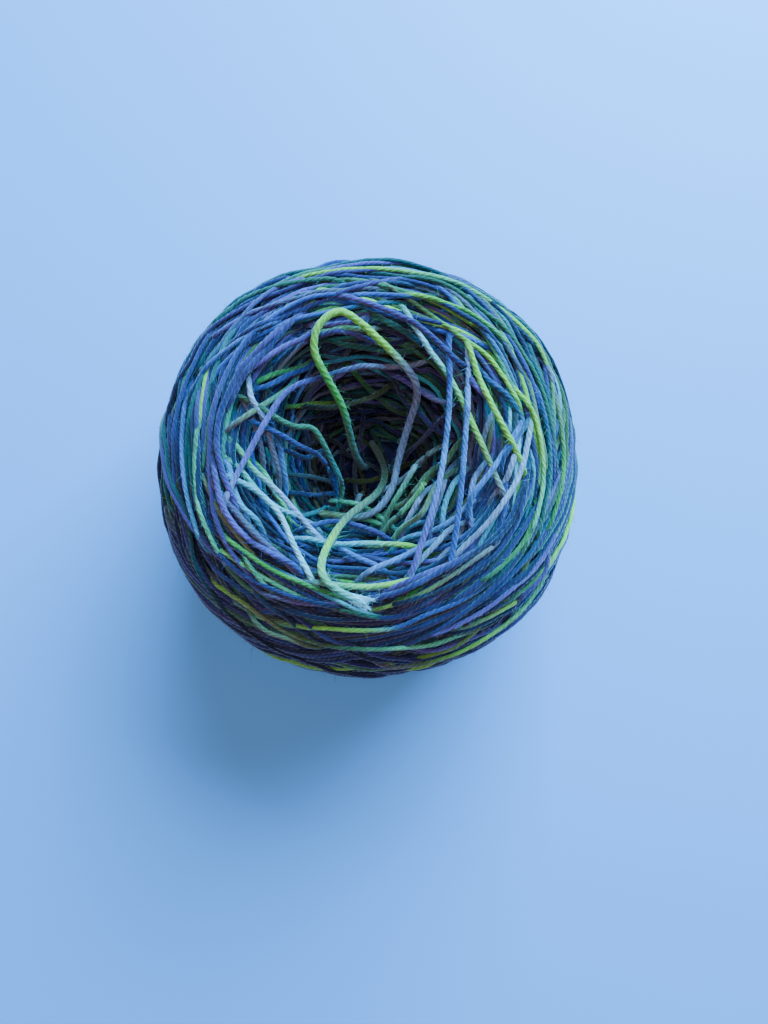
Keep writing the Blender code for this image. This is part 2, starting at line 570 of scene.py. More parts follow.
class PileMap:
    """How high the winding has piled up, over a grid along the outline and round the cake."""

    CELL = 0.35 * MM
    COLUMNS = 760
    PRESS = 0.75
    BEND = 16.0 * MM
    HOLD_UP = 6.0 * MM
    SQUEEZE = 0.36
    FULL_SQUEEZE = 0.8 * MM
    SMOOTHING = 6.0 * MM
    SMOOTHING_PASSES = 3
    MEAN_REACH = 0.7
    DOUBT = 0.10 * MM
    SPOTS_ALONG = 5
    SPOTS_AROUND = 9
    CLEAR_OF_AXIS = 2.0 * MM

    def __init__(self, form: CakeForm) -> None:
        """Starts with a bare core.

        Args:
            form: the cake's surface.
        """
        self.form = form
        self.rows = int(form.length / self.CELL) + 1
        self.height = np.zeros((self.rows, self.COLUMNS))

    def cells(self, s: np.ndarray, theta: np.ndarray) -> tuple[np.ndarray, np.ndarray]:
        """The grid cell of each place.

        Args:
            s: places along the outline.
            theta: directions round the cake.

        Returns:
            The row and the column of each place.
        """
        row = np.clip((s / self.CELL).astype(int), 0, self.rows - 1)
        column = (theta / (2 * np.pi) * self.COLUMNS).astype(int) % self.COLUMNS
        return row, column

    def footprint(self, s: np.ndarray, theta: np.ndarray, yarn: Yarn) -> Footprint:
        """The cells below each ring, and how far below its centre line the yarn's underside is there.

        Args:
            s: places along the outline.
            theta: directions round the cake.
            yarn: the yarn that is laid.

        Returns:
            Rows and columns, each rings by cells, and the depths, one for each cell.
        """
        just_past = 1.01 * yarn.half_width
        spots = [
            (ds, dw)
            for ds in np.linspace(-1, 1, self.SPOTS_ALONG) * yarn.half_width
            for dw in np.linspace(-1, 1, self.SPOTS_AROUND) * yarn.half_width
            if math.hypot(ds, dw) <= just_past
        ]
        ds, dw = np.array(spots).T
        depth = np.sqrt(np.maximum(0.0, 1.0 - (ds ** 2 + dw ** 2) / yarn.half_width ** 2))
        radius = np.maximum(self.form.radius_at(s), self.CLEAR_OF_AXIS)
        row, column = self.cells(s[:, None] + ds, theta[:, None] + dw / radius[:, None])
        return row, column, depth * yarn.half_height * self.PRESS

    def lay(self, s: np.ndarray, theta: np.ndarray, yarn: Yarn) -> np.ndarray:
        """Lays a strand on the pile and adds it to the pile.

        Args:
            s: places along the outline.
            theta: directions round the cake.
            yarn: the yarn that is laid.

        Returns:
            The height of the strand's centre line above the core at each ring.
        """
        row, column, depth = self.footprint(s, theta, yarn)
        contact = (self.height[row, column] + depth).max(axis=1)
        height = taut(contact, yarn.ring_gap, self.BEND, self.HOLD_UP)
        np.maximum.at(self.height, (row, column), height[:, None] + depth)
        return height

    def seen(self, s: np.ndarray, theta: np.ndarray, height: np.ndarray, yarn: Yarn) -> np.ndarray:
        """Which rings still show, once everything has been laid."""
        row, column, depth = self.footprint(s, theta, yarn)
        return (self.height[row, column] <= height[:, None] + depth + self.DOUBT).any(axis=1)

    def settle(self) -> tuple[np.ndarray, np.ndarray]:
        """Presses what has grown back to the form, and makes it flatter the more it has grown.

        Returns:
            The level that was taken off, and how much of each height above it is kept.
        """
        level = self.level()
        squeeze = 1.0 - self.SQUEEZE * np.clip(level / self.FULL_SQUEEZE, 0.0, 1.0)
        self.height = (self.height - level) * squeeze
        return level, squeeze

    def level(self) -> np.ndarray:
        """The pile's height with its lumps smoothed away, over the same grid.

        Returns:
            One height per cell.
        """
        smooth = self.height.copy()
        column_width = 2 * np.pi * self.MEAN_REACH * self.form.radius / self.COLUMNS
        rows = max(1, int(self.SMOOTHING / self.CELL / 2))
        columns = max(1, int(self.SMOOTHING / column_width / 2))
        for _ in range(self.SMOOTHING_PASSES):
            padded = np.pad(smooth, ((0, 0), (columns + 1, columns)), mode="wrap")
            total = np.cumsum(padded, axis=1)
            smooth = (total[:, 2 * columns + 1:] - total[:, :-2 * columns - 1]) / (2 * columns + 1)
            padded = np.pad(smooth, ((rows, rows), (0, 0)), mode="edge")
            total = np.vstack([np.zeros((1, self.COLUMNS)), np.cumsum(padded, axis=0)])
            smooth = (total[2 * rows + 1:] - total[:-2 * rows - 1]) / (2 * rows + 1)
        return smooth


# --- winding ------------------------------------------------------------------------------

@dataclass(frozen=True)
class Course:
    """One course of the winding.

    Args:
        name: what it is.
        turns: how many times it goes round.
        top: a mark on the outline and the range past it, in millimetres, where the turns come highest.
        bottom: the same for where they go lowest.
        bundle: how many turns lie side by side before the next bundle starts elsewhere.
        shift: how far one turn of a bundle is turned against the one before, in degrees.
        mix: its dyes.
        seed: its own start for everything left to chance.
    """

    name: str
    turns: int
    top: tuple[str, float, float]
    bottom: tuple[str, float, float]
    bundle: float
    shift: float
    mix: Mix
    seed: int


COURSES = (
    Course("deep turns", 44, ("pit waist", 0, 16), ("pit floor", 1, 12), 2, 8.0, Mix.DEEP, 1),
    Course("pit turns", 48, ("pit wall", 0, 17), ("pit floor", 8, 26), 2, 9.0, Mix.DEEP, 2),
    Course("rim turns", 44, ("mouth", -3, 8), ("crown", -5, 8), 3, 5.0, Mix.OUTER, 8),
    Course("funnel turns", 52, ("mouth", -4, 8), ("pit waist", 4, 20), 2, 8.0, Mix.INNER, 3),
    Course("under turns", 60, ("rim", -4, 8), ("lower shoulder", -6, 14), 4, 4.0, Mix.OUTER, 4),
    Course("side turns", 62, ("upper shoulder", -4, 10), ("lower shoulder", -8, 6), 5, 4.0, Mix.OUTER, 5),
    Course("crown turns", 76, ("rim", -2, 8), ("lower shoulder", -8, 8), 4, 4.0, Mix.OUTER, 6),
    Course("outer turns", 118, ("crown", -5, 10), ("lower shoulder", -6, 20), 6, 3.5, Mix.OUTER, 7),
)


@dataclass
class LaidYarn:
    """The yarn of one course as it lies on the pile, before what is hidden is cut away.

    Args:
        s: place along the outline of each sample.
        theta: direction round the cake.
        height: height above the cake's surface.
        along: length of yarn up to each sample.
        dye: its colour.
        laid: how many of the samples have been laid so far.
    """

    s: np.ndarray
    theta: np.ndarray
    height: np.ndarray
    along: np.ndarray
    dye: np.ndarray
    laid: int = 0


class Winder:
    """Winds the courses on the pile, one turn after the other."""

    SAMPLES_PER_TURN = 720
    WITHIN_BUNDLE = 0.08
    NEXT_BUNDLE = (40.0, 320.0)
    SHIFT_ERROR = 2.0
    WANDER = 0.8 * MM
    WAVES_PER_TURN = (2.3, 3.7, 6.1)
    FROM_FLOOR_MIDDLE = 2.5 * MM
    FROM_BASE_MIDDLE = 3.0 * MM
    LENGTHS_PER_TURN = (0.7, 1.3)
    SHORTEST_PART = 20
    SETTLE_EVERY = 6
    JOINT = 12.0 * MM
    SINK = 1.25 * MM
    HIDDEN_LEFT = 3.0 * MM

    def __init__(self, form: CakeForm, pile: PileMap, yarn: Yarn) -> None:
        """Starts with no turns laid.

        Args:
            form: the cake's surface.
            pile: what has piled up on it.
            yarn: the yarn that is wound.
        """
        self.form = form
        self.pile = pile
        self.yarn = yarn
        self.courses: list[LaidYarn] = []

    def path(self, course: Course, dice: np.random.Generator) -> tuple[np.ndarray, np.ndarray]:
        """The path of a course over the cake.

        Args:
            course: what is wound.
            dice: what decides.

        Returns:
            Place along the outline and direction round the cake, in even steps of yarn length.
        """
        marks = self.form.marks
        knots = np.arange(course.turns + 2)
        turn = np.linspace(0.0, course.turns, course.turns * self.SAMPLES_PER_TURN)
        fresh = dice.random(len(knots)) < 1.0 / course.bundle
        group = np.cumsum(fresh)
        spread = dice.random((group[-1] + 1, 2))[group]
        spread = np.clip(spread + dice.normal(0.0, self.WITHIN_BUNDLE, spread.shape), 0.0, 1.0)
        ends = []
        for share, (mark, near, far) in zip(spread.T, (course.top, course.bottom)):
            ends.append(np.interp(turn, knots, marks[mark] + (near + (far - near) * share) * MM))
        leap = dice.uniform(*self.NEXT_BUNDLE, len(knots))
        step = dice.normal(course.shift, self.SHIFT_ERROR, len(knots))
        phase = np.radians(np.interp(turn, knots, np.cumsum(np.where(fresh, leap, step))))
        theta = 2 * np.pi * turn
        s = 0.5 * (ends[0] + ends[1]) - 0.5 * (ends[1] - ends[0]) * np.cos(theta - phase)
        for waves in self.WAVES_PER_TURN:
            s += self.WANDER / waves * np.sin(waves * theta + dice.uniform(0.0, 2 * np.pi))
        s = np.clip(s, self.FROM_FLOOR_MIDDLE, self.form.length - self.FROM_BASE_MIDDLE)
        line = self.form.place(s, theta, np.zeros_like(s))
        along = lengths_along(line)
        even = np.arange(0.0, along[-1], self.yarn.ring_gap)
        return np.interp(even, along, s), np.interp(even, along, theta)

    def wind(self, course: Course) -> None:
        """Lays a course on the pile, length by length.

        Args:
            course: what is wound.
        """
        dice = np.random.default_rng(course.seed)
        s, theta = self.path(course, dice)
        along = np.arange(len(s)) * self.yarn.ring_gap
        dye = DyeRun.by_chance(along[-1], course.mix, theta, dice).at(along)
        yarn = LaidYarn(s, theta, np.zeros(len(s)), along, dye)
        self.courses.append(yarn)
        turns = dice.uniform(*self.LENGTHS_PER_TURN, 3 * course.turns)
        cuts = np.cumsum(turns * along[-1] / course.turns / self.yarn.ring_gap).astype(int)
        cuts = cuts[cuts < len(s) - self.SHORTEST_PART]
        for number, part in enumerate(np.split(np.arange(len(s)), cuts)):
            height = self.pile.lay(s[part], theta[part], self.yarn)
            if yarn.laid:
                jump = height[0] - yarn.height[yarn.laid - 1]
                ramp = np.clip(1.0 - np.arange(len(part)) * self.yarn.ring_gap / self.JOINT, 0.0, 1.0)
                height = height - jump * ramp
            yarn.height[part] = height
            yarn.laid += len(part)
            if number % self.SETTLE_EVERY == self.SETTLE_EVERY - 1:
                self.settle()
        self.settle()
        LOG.info("%s: %d turns, %.1f m of yarn", course.name, course.turns, along[-1])

    def settle(self) -> None:
        """Presses the pile back to the cake's true form, and all the yarn laid so far with it."""
        level, squeeze = self.pile.settle()
        for yarn in self.courses:
            laid = slice(yarn.laid)
            cell = self.pile.cells(yarn.s[laid], yarn.theta[laid])
            yarn.height[laid] = (yarn.height[laid] - level[cell]) * squeeze[cell]

    def strands(self) -> list[Strand]:
        """The stretches that show.

        Returns:
            The strands, in the order in which they were laid.
        """
        found = []
        for yarn in self.courses:
            shows = self.pile.seen(yarn.s, yarn.theta, yarn.height, self.yarn)
            points = self.form.place(yarn.s, yarn.theta, yarn.height - self.SINK)
            points[:, 2] = np.maximum(points[:, 2], ABOVE_THE_TABLE * self.yarn.half_height)
            outward = self.form.outward(yarn.s, yarn.theta)
            for stretch in stretches(shows, int(self.HIDDEN_LEFT / self.yarn.ring_gap)):
                part = slice(stretch.start, stretch.stop, self.yarn.keep_every)
                rows = (values[part] for values in (points, outward, yarn.along, yarn.dye))
                found.append(Strand(*rows, self.yarn))
        return found


def stretches(shows: np.ndarray, margin: int) -> Iterable[slice]:
    """The runs of rings that show, each grown by a margin into what hides it.

    Args:
        shows: whether each ring shows.
        margin: how many hidden rings are kept at either end.

    Returns:
        One slice for each run.
    """
    grown = shows.copy()
    for step in range(1, margin + 1):
        grown[step:] |= shows[:-step]
        grown[:-step] |= shows[step:]
    edges = np.flatnonzero(np.diff(np.concatenate([[False], grown, [False]]).astype(int)))
    for start, stop in zip(edges[::2], edges[1::2]):
        if stop - start > 2 * margin:
            yield slice(start, stop)


# --- strands that bridge the pit and cross the crown -----------------------------------------

@dataclass(frozen=True)
class Bridge:
    """A strand laid over the finished winding, seen from above.

    Args:
        name: what it is.
        knots: the points it runs through: direction in degrees, reach in hundredths of the cake's radius.
        dyes: its colours from first knot to last.
        lift: extra height over what it lies on, in millimetres.
    """

    name: str
    knots: tuple[tuple[float, float], ...]
    dyes: tuple[Dye, ...]
    lift: float = 0.0


BRIDGES = (
    Bridge("floor slate", ((140, 20), (60, 6), (-40, 18)), (CHARCOAL, GREY_BLUE, TEAL)),
    Bridge("floor olive", ((-170, 18), (-90, 5), (10, 20)), (NAVY, OLIVE, CHARCOAL)),
    Bridge("floor indigo", ((100, 19), (170, 7), (-110, 17)), (INDIGO, GREY_BLUE, NAVY)),
    Bridge("floor green", ((30, 18), (-10, 9), (-75, 17)), (SEA_GREEN, TEAL, GREY_BLUE)),
    Bridge("floor teal", ((-168, 35), (-167, 28), (-161, 20)), (TEAL, GREY_BLUE), 5.0),
    Bridge("floor navy", ((-155, 35), (-149, 29), (-143, 20)), (NAVY, COBALT), 5.0),
    Bridge("navy arc high", ((157, 36), (146, 35), (120, 29)), (INDIGO, NAVY)),
    Bridge("navy arc middle", ((150, 37), (154, 31), (168, 28)), (COBALT, INDIGO), 3.0),
    Bridge("navy arc low", ((163, 29), (146, 27), (133, 23)), (NAVY, COBALT), 4.0),
    Bridge("navy sweep", ((178, 33), (-178, 26), (171, 19), (-152, 16)), (INDIGO, NAVY, COBALT), 6.0),
    Bridge("blue sweep", ((170, 36), (175, 28), (-178, 20), (-150, 17)), (COBALT, INDIGO, COBALT), 6.0),
    Bridge("green at the back", ((94, 33), (80, 29), (62, 27)), (LEAF, SEA_GREEN, OLIVE), 5.0),
    Bridge("olive at the back", ((145, 38), (133, 35), (118, 31)), (OLIVE, LIME, OLIVE), 2.0),
    Bridge("navy at the back", ((106, 31), (94, 26), (91, 21)), (INDIGO, NAVY), 6.0),
    Bridge("charcoal at the back", ((126, 26), (98, 24), (85, 26)), (CHARCOAL, OLIVE), 7.0),
    Bridge("charcoal right wall", ((56, 28), (38, 29), (24, 30)), (CHARCOAL, INDIGO, PURPLE), 5.0),
    Bridge("purple right wall", ((18, 20), (21, 26), (24, 31)), (PURPLE, INDIGO), 8.0),
    Bridge("moss stub", ((150, 5), (-120, 6), (-105, 14), (-104, 22)), (MOSS, MOSS, GREY), 10.0),
    Bridge("mint floor", ((-107, 19), (-80, 24), (-66, 34), (-52, 36)),
           (MINT, MINT, AQUA, LAVENDER), 5.0),
    Bridge("moss fan", ((-95, 17), (-26, 17), (0, 24)), (MOSS, SILVER, MOSS), 8.0),
    Bridge("green fan", ((-72, 23), (-45, 25), (-15, 27)), (MINT, MOSS, OLIVE), 8.0),
    Bridge("silver fan", ((2, 24), (-12, 21), (-38, 20), (-72, 26)), (GREY, SILVER, MINT, MOSS), 4.0),
    Bridge("lime fan", ((-16, 27), (-35, 27), (-56, 28), (-71, 29)), (MOSS, LIME, MINT, MOSS), 4.0),
    Bridge("grey low fan", ((-33, 28), (-53, 31), (-66, 35)), (GREY, SILVER, LAVENDER)),
    Bridge("mint fan", ((-67, 34), (-49, 34), (-25, 31)), (MINT, MOSS, MOSS), 4.0),
    Bridge("grey fan", ((-50, 39), (-33, 35), (-12, 34)), (LAVENDER, GREY, GREY_BLUE), 2.0),
    Bridge("aqua fan", ((-45, 42), (-32, 38), (-16, 38)), (PALE_BLUE, AQUA, GREY), 1.0),
    Bridge("olive right", ((-13, 31), (-3, 34), (7, 38)), (MOSS, OLIVE, SEA_GREEN)),
    Bridge("lavender right of the loop", ((77, 36), (57, 35), (33, 38)), (INDIGO, LAVENDER, SILVER)),
    Bridge("dark sweep", ((160, 42), (162, 36), (162, 30), (158, 23), (-170, 15), (-135, 16), (-123, 24)),
           (OLIVE, SEA_GREEN, SEA_GREEN, TEAL, SEA_GREEN, AQUA), 3.0),
    Bridge("green back", ((148, 50), (140, 48), (124, 43)), (LEAF, SEA_GREEN)),
    Bridge("blue back", ((149, 47), (136, 44), (122, 42)), (COBALT, INDIGO)),
    Bridge("teal back", ((106, 45), (90, 42), (68, 43)), (SEA_GREEN, TEAL, SEA_GREEN)),
    Bridge("blue post", ((173, 35), (-172, 35), (-156, 36)), (COBALT, PALE_BLUE, COBALT)),
    Bridge("left grey", ((165, 46), (176, 43), (-170, 42)), (GREY, GREY_BLUE)),
    Bridge("left silver", ((164, 42), (180, 38), (-162, 37)), (SILVER, GREY, GREY_BLUE)),
    Bridge("left grey top", ((150, 53), (157, 49), (165, 41)), (GREY_BLUE, SILVER, GREY)),
    Bridge("left green", ((-171, 43), (-159, 41), (-140, 41)), (LEAF, MINT, LEAF)),
    Bridge("left mint", ((180, 50), (-170, 46), (-153, 39), (-125, 39), (-115, 40)),
           (MINT, MINT, SILVER, SILVER, PALE_BLUE)),
    Bridge("aqua under", ((-140, 38), (-134, 31), (-129, 22)), (AQUA, TEAL), 2.0),
    Bridge("purple floor", ((-126, 36), (-108, 30), (-77, 35)), (PALE_BLUE, INDIGO, PURPLE, INDIGO)),
    Bridge("pale green left", ((-118, 30), (-104, 26), (-86, 26)), (MOSS, MINT, MINT), 7.0),
    Bridge("teal right top", ((85, 52), (71, 49), (59, 47)), (SEA_GREEN, TEAL, COBALT)),
    Bridge("lavender top row", ((112, 52), (100, 50), (93, 50)), (GREY, LAVENDER, GREY_BLUE)),
    Bridge("mint top row", ((112, 49), (98, 48), (88, 47)), (SILVER, MINT, SILVER)),
    Bridge("purple top row", ((117, 49), (104, 47), (97, 46), (79, 43)), (INDIGO, PURPLE, INDIGO)),
    Bridge("grey green under", ((171, 52), (160, 45), (137, 40)), (GREY, MOSS, SEA_GREEN, GREY_BLUE)),
    Bridge("short purple", ((90, 50), (104, 42), (118, 36)), (PURPLE, GREY_BLUE, CHARCOAL)),
    Bridge("aqua right", ((-67, 38), (-52, 42), (-38, 45), (-28, 46)), (AQUA, PALE_BLUE, SILVER)),
    Bridge("cyan to lime", ((-127, 44), (-108, 40), (-86, 38), (-62, 44)),
           (PALE_BLUE, AQUA, AQUA, LIME, LEAF)),
    Bridge("bright blue", ((-112, 39), (-97, 43), (-82, 48)), (PALE_BLUE, COBALT)),
    Bridge("slate front", ((-90, 49), (-75, 46), (-62, 45), (-50, 46)), (GREY, PALE_BLUE, GREY_BLUE)),
    Bridge("slate right", ((-71, 52), (-54, 47), (-42, 46)), (GREY_BLUE, SILVER)),
    Bridge("silver stub", ((14, 50), (4, 47), (-4, 45)), (SILVER, GREY)),
    Bridge("silver right", ((-3, 58), (-15, 56), (-22, 53)), (SILVER, GREY)),
    Bridge("lavender right", ((-11, 45), (-22, 45), (-35, 49)), (SILVER, LAVENDER)),
    Bridge("pale green bundle", ((-173, 52), (-150, 44), (-128, 36)), (MINT, AQUA, SILVER)),
    Bridge("dark oval", ((-154, 53), (-144, 55), (-133, 53)), (CHARCOAL, INDIGO)),
    Bridge("olive oval", ((-147, 55), (-138, 55), (-127, 52)), (OLIVE, CHARCOAL)),
    Bridge("cyan left", ((-172, 54), (-156, 54), (-144, 51)), (PALE_BLUE, AQUA)),
    Bridge("lavender left bundle", ((154, 57), (144, 54), (130, 51), (117, 49)),
           (PURPLE, LAVENDER, PURPLE)),
    Bridge("purple left bundle", ((163, 56), (150, 55), (132, 55), (119, 58)),
           (PURPLE, PURPLE, INDIGO, LAVENDER)),
    Bridge("left aqua", ((-168, 56), (-157, 46), (-141, 43), (-125, 48), (-108, 59)),
           (PALE_BLUE, AQUA, FROST, FROST, MINT)),
    Bridge("left lavender", ((-167, 62), (-143, 55), (-121, 55)), (LAVENDER, GREY_BLUE, LAVENDER)),
    Bridge("lavender under the loop", ((-156, 60), (-163, 54), (173, 42), (142, 38), (98, 33), (58, 43)),
           (SILVER, LAVENDER, LAVENDER, INDIGO, GREY, SILVER)),
    Bridge("pale lime right", ((74, 56), (60, 47), (30, 42), (-20, 57)),
           (MINT, FROST, MINT, LIME, MOSS, SILVER)),
    Bridge("blue to purple", ((54, 55.5), (22, 35), (-33, 33), (-75, 59)),
           (COBALT, COBALT, PALE_BLUE, LAVENDER, PURPLE)),
    Bridge("light blue", ((46, 57.5), (27, 45), (-29, 42), (-58, 60)),
           (SILVER, PALE_BLUE, COBALT, COBALT)),
    Bridge("purple right top", ((32, 48), (21, 51), (8, 54)), (LAVENDER, PURPLE)),
    Bridge("blue right top", ((29, 54), (19, 59), (10, 62)), (COBALT, TEAL)),
    Bridge("blue right", ((9, 62), (-1, 55), (-14, 49), (-28, 45)), (COBALT, PALE_BLUE, COBALT)),
    Bridge("blue far right", ((13, 69), (6, 62), (-6, 53)), (TEAL, COBALT)),
    Bridge("lime right", ((46, 57), (20, 51), (-9, 63)), (LIME, LIME, LIME)),
    Bridge("silver long", ((9, 66), (-5, 62), (-14, 60), (-22, 58), (-34, 56), (-52, 55)),
           (MINT, SILVER, SILVER, GREY, SILVER)),
    Bridge("front arc", ((-112, 57), (-89, 55), (-66, 56)), (LAVENDER, MINT, LIME, MOSS)),
    Bridge("lavender bottom right", ((-82, 57), (-65, 55), (-50, 58), (-37, 62)),
           (LAVENDER, PURPLE, LAVENDER, GREY)),
    Bridge("front purple", ((-96, 61), (-76, 58), (-48, 58)), (PURPLE, INDIGO, PURPLE)),
    Bridge("lilac right edge", ((-9, 65), (-23, 63), (-36, 61), (-53, 58)), (NAVY, INDIGO, NAVY, PURPLE)),
    Bridge("indigo right", ((-12, 65), (-27, 64), (-42, 62)), (NAVY, NAVY, INDIGO)),
    Bridge("front yellow green", ((-86, 64), (-66, 61), (-36, 64)), (LIME, MOSS, GREY)),
    Bridge("lime lower rim", ((-142, 84), (-130, 79), (-120, 79), (-112, 80), (-100, 80),
           (-89, 80), (-79, 81), (-71, 83), (-63, 84), (-53, 89)), (LIME, LIME, MOSS, OLIVE, SEA_GREEN,
           MINT, MINT, SEA_GREEN, MINT)),
    Bridge("indigo bottom right", ((-80, 63), (-56, 64), (-36, 66), (-16, 65)),
           (NAVY, NAVY, INDIGO, NAVY)),
    Bridge("lime to blue rim", ((-120, 78), (-109, 75), (-103, 73), (-92, 72), (-81, 72),
           (-70, 70), (-59, 71), (-48, 72), (-38, 73), (-24, 72)), (NAVY, OLIVE, LIME, LIME, COBALT,
           COBALT, INDIGO, TEAL, AQUA, TEAL)),
    Bridge("lilac rim", ((-72, 79), (-62, 79), (-53, 80), (-44, 81), (-34, 84), (-22, 86)),
           (INDIGO, LAVENDER, LAVENDER, LAVENDER, PURPLE)),
    Bridge("green right rim", ((-19, 72), (-33, 72), (-49, 70)), (LEAF, SEA_GREEN)),
    Bridge("lime outer right", ((24, 62), (12, 67), (0, 69), (-11, 71), (-21, 72), (-36, 75)),
           (LIME, LIME, MINT, SEA_GREEN)),
    Bridge("aqua outer right", ((21, 73), (3, 73), (-10, 74), (-29, 78)), (COBALT, TEAL, SEA_GREEN)),
    Bridge("lime far right", ((28, 85), (8, 81), (-8, 81), (-24, 81)), (LAVENDER, MOSS, LEAF, SEA_GREEN)),
    Bridge("bright green", ((-148, 66), (-125, 60), (-98, 60)), (LEAF, LEAF, SEA_GREEN)),
    Bridge("lime to aqua", ((-146, 71), (-113, 64), (-84, 68)), (LIME, MINT, SEA_GREEN, TEAL)),
    Bridge("mint lower left", ((-122, 68), (-129, 66), (-138, 64)), (SEA_GREEN, MINT)),
    Bridge("slate lower left", ((-127, 71), (-112, 66), (-99, 62)), (GREY_BLUE, LAVENDER)),
    Bridge("violet lower left", ((-155, 75), (-137, 70), (-120, 66), (-99, 64)), (NAVY, INDIGO, NAVY)),
    Bridge("lavender lower left", ((-175, 60), (-156, 60), (-141, 58), (-119, 54)),
           (PURPLE, LAVENDER, COBALT)),
    Bridge("left outer mint", ((172, 67), (-171, 68), (-157, 70), (-138, 73)),
           (SEA_GREEN, MINT, SEA_GREEN)),
    Bridge("left outer blue", ((164, 77), (-179, 74), (-165, 74), (-148, 76)), (COBALT, PALE_BLUE, AQUA)),
    Bridge("olive under the rim", ((-126, 81), (-119, 83), (-112, 82), (-104, 83)),
           (SEA_GREEN, MOSS, SEA_GREEN)),
    Bridge("lime low on the right", ((-85, 90), (-72, 91), (-60, 92), (-45, 93), (-33, 92)),
           (GREY, OLIVE, LIME, MINT, SEA_GREEN)),
    Bridge("lilac low on the right", ((-51, 92), (-44, 88), (-35, 89), (-29, 87)),
           (INDIGO, PURPLE, LAVENDER)),
    Bridge("left purple", ((-156, 55), (-173, 57), (171, 58), (149, 57), (128, 57)),
           (LAVENDER, PURPLE, INDIGO, PURPLE, LAVENDER)),
    Bridge("blue top left", ((165, 76), (152, 71), (139, 65), (125, 61)),
           (TEAL, COBALT, PALE_BLUE, INDIGO)),
    Bridge("teal top left", ((148, 85), (130, 81), (116, 76), (100, 71)), (TEAL, SEA_GREEN)),
    Bridge("purple top right", ((99, 61), (79, 54), (62, 51), (40, 49)), (LAVENDER, PURPLE, INDIGO)),
    Bridge("lavender chord", ((151, 84), (133, 74), (111, 65), (87, 65)),
           (INDIGO, LAVENDER, GREY_BLUE, GREY)),
    Bridge("yellow green crown", ((88, 70), (70, 60), (52, 57), (35, 60), (14, 63)),
           (MOSS, OLIVE, LIME, LIME)),
    Bridge("purple crown left", ((164, 90), (140, 67), (107, 61), (72, 78)),
           (NAVY, PURPLE, INDIGO, PURPLE, LAVENDER)),
    Bridge("lime top inner", ((76, 63), (64, 64), (51, 68), (34, 72)), (LIME, LEAF, MINT)),
    Bridge("lime top outer", ((113, 79), (95, 75), (79, 76), (63, 81), (44, 86)),
           (LIME, LIME, MINT, LIME)),
)

# Centre line of the slack loop: up from the pit, over the back of the rim, down to the front wall.
SLACK_LOOP_ROUTE = (
    (-0.0009, 0.0024, 0.0184), (-0.0009, 0.0016, 0.0240), (-0.0009, 0.0009, 0.0290),
    (-0.0011, 0.0002, 0.0345), (-0.0015, 0.0001, 0.0395), (-0.0022, 0.0009, 0.0438),
    (-0.0028, 0.0025, 0.0475), (-0.0033, 0.0046, 0.0508), (-0.0041, 0.0075, 0.0537),
    (-0.0056, 0.0102, 0.0562), (-0.0073, 0.0130, 0.0583), (-0.0086, 0.0160, 0.0598),
    (-0.0082, 0.0190, 0.0610), (-0.0063, 0.0213, 0.0614), (-0.0041, 0.0221, 0.0613),
    (-0.0016, 0.0210, 0.0605), (0.0014, 0.0189, 0.0588), (0.0045, 0.0165, 0.0567),
    (0.0070, 0.0144, 0.0545), (0.0086, 0.0123, 0.0525), (0.0088, 0.0098, 0.0503),
    (0.0076, 0.0062, 0.0482), (0.0064, 0.0024, 0.0465), (0.0054, -0.0013, 0.0453),
    (0.0047, -0.0047, 0.0444), (0.0032, -0.0076, 0.0436), (0.0010, -0.0096, 0.0431),
    (-0.0016, -0.0105, 0.0428), (-0.0044, -0.0104, 0.0428), (-0.0072, -0.0100, 0.0433),
    (-0.0092, -0.0098, 0.0440),
)

SLACK_LOOP_DYES = (
    TEAL, TEAL, AQUA, AQUA, TEAL, SEA_GREEN, SEA_GREEN, LEAF, LEAF,
    LIME, LIME, LIME, LIME, SILVER, GREY, GREY, GREY, SILVER,
    SILVER, MOSS, MOSS,
)

# Centre line of the loose end: from the pit's back wall, across the pit and over the front of the rim.
LOOSE_END_ROUTE = (
    (0.0003, 0.0076, 0.0205), (0.0007, 0.0063, 0.0240), (0.0016, 0.0041, 0.0285),
    (0.0026, 0.0015, 0.0330), (0.0032, -0.0015, 0.0375), (0.0026, -0.0045, 0.0415),
    (0.0012, -0.0068, 0.0450), (-0.0009, -0.0088, 0.0480), (-0.0030, -0.0108, 0.0508),
    (-0.0047, -0.0131, 0.0538), (-0.0060, -0.0156, 0.0566), (-0.0069, -0.0181, 0.0592),
    (-0.0071, -0.0204, 0.0610), (-0.0061, -0.0224, 0.0619), (-0.0040, -0.0240, 0.0622),
    (-0.0016, -0.0252, 0.0622), (0.0005, -0.0260, 0.0620), (0.0018, -0.0266, 0.0617),
)
LOOSE_END_DYES = (
    TEAL, OLIVE, SEA_GREEN, OLIVE, MOSS, MOSS, LIME, MINT, AQUA,
)
LOOSE_END_TRIM = 1.2 * MM


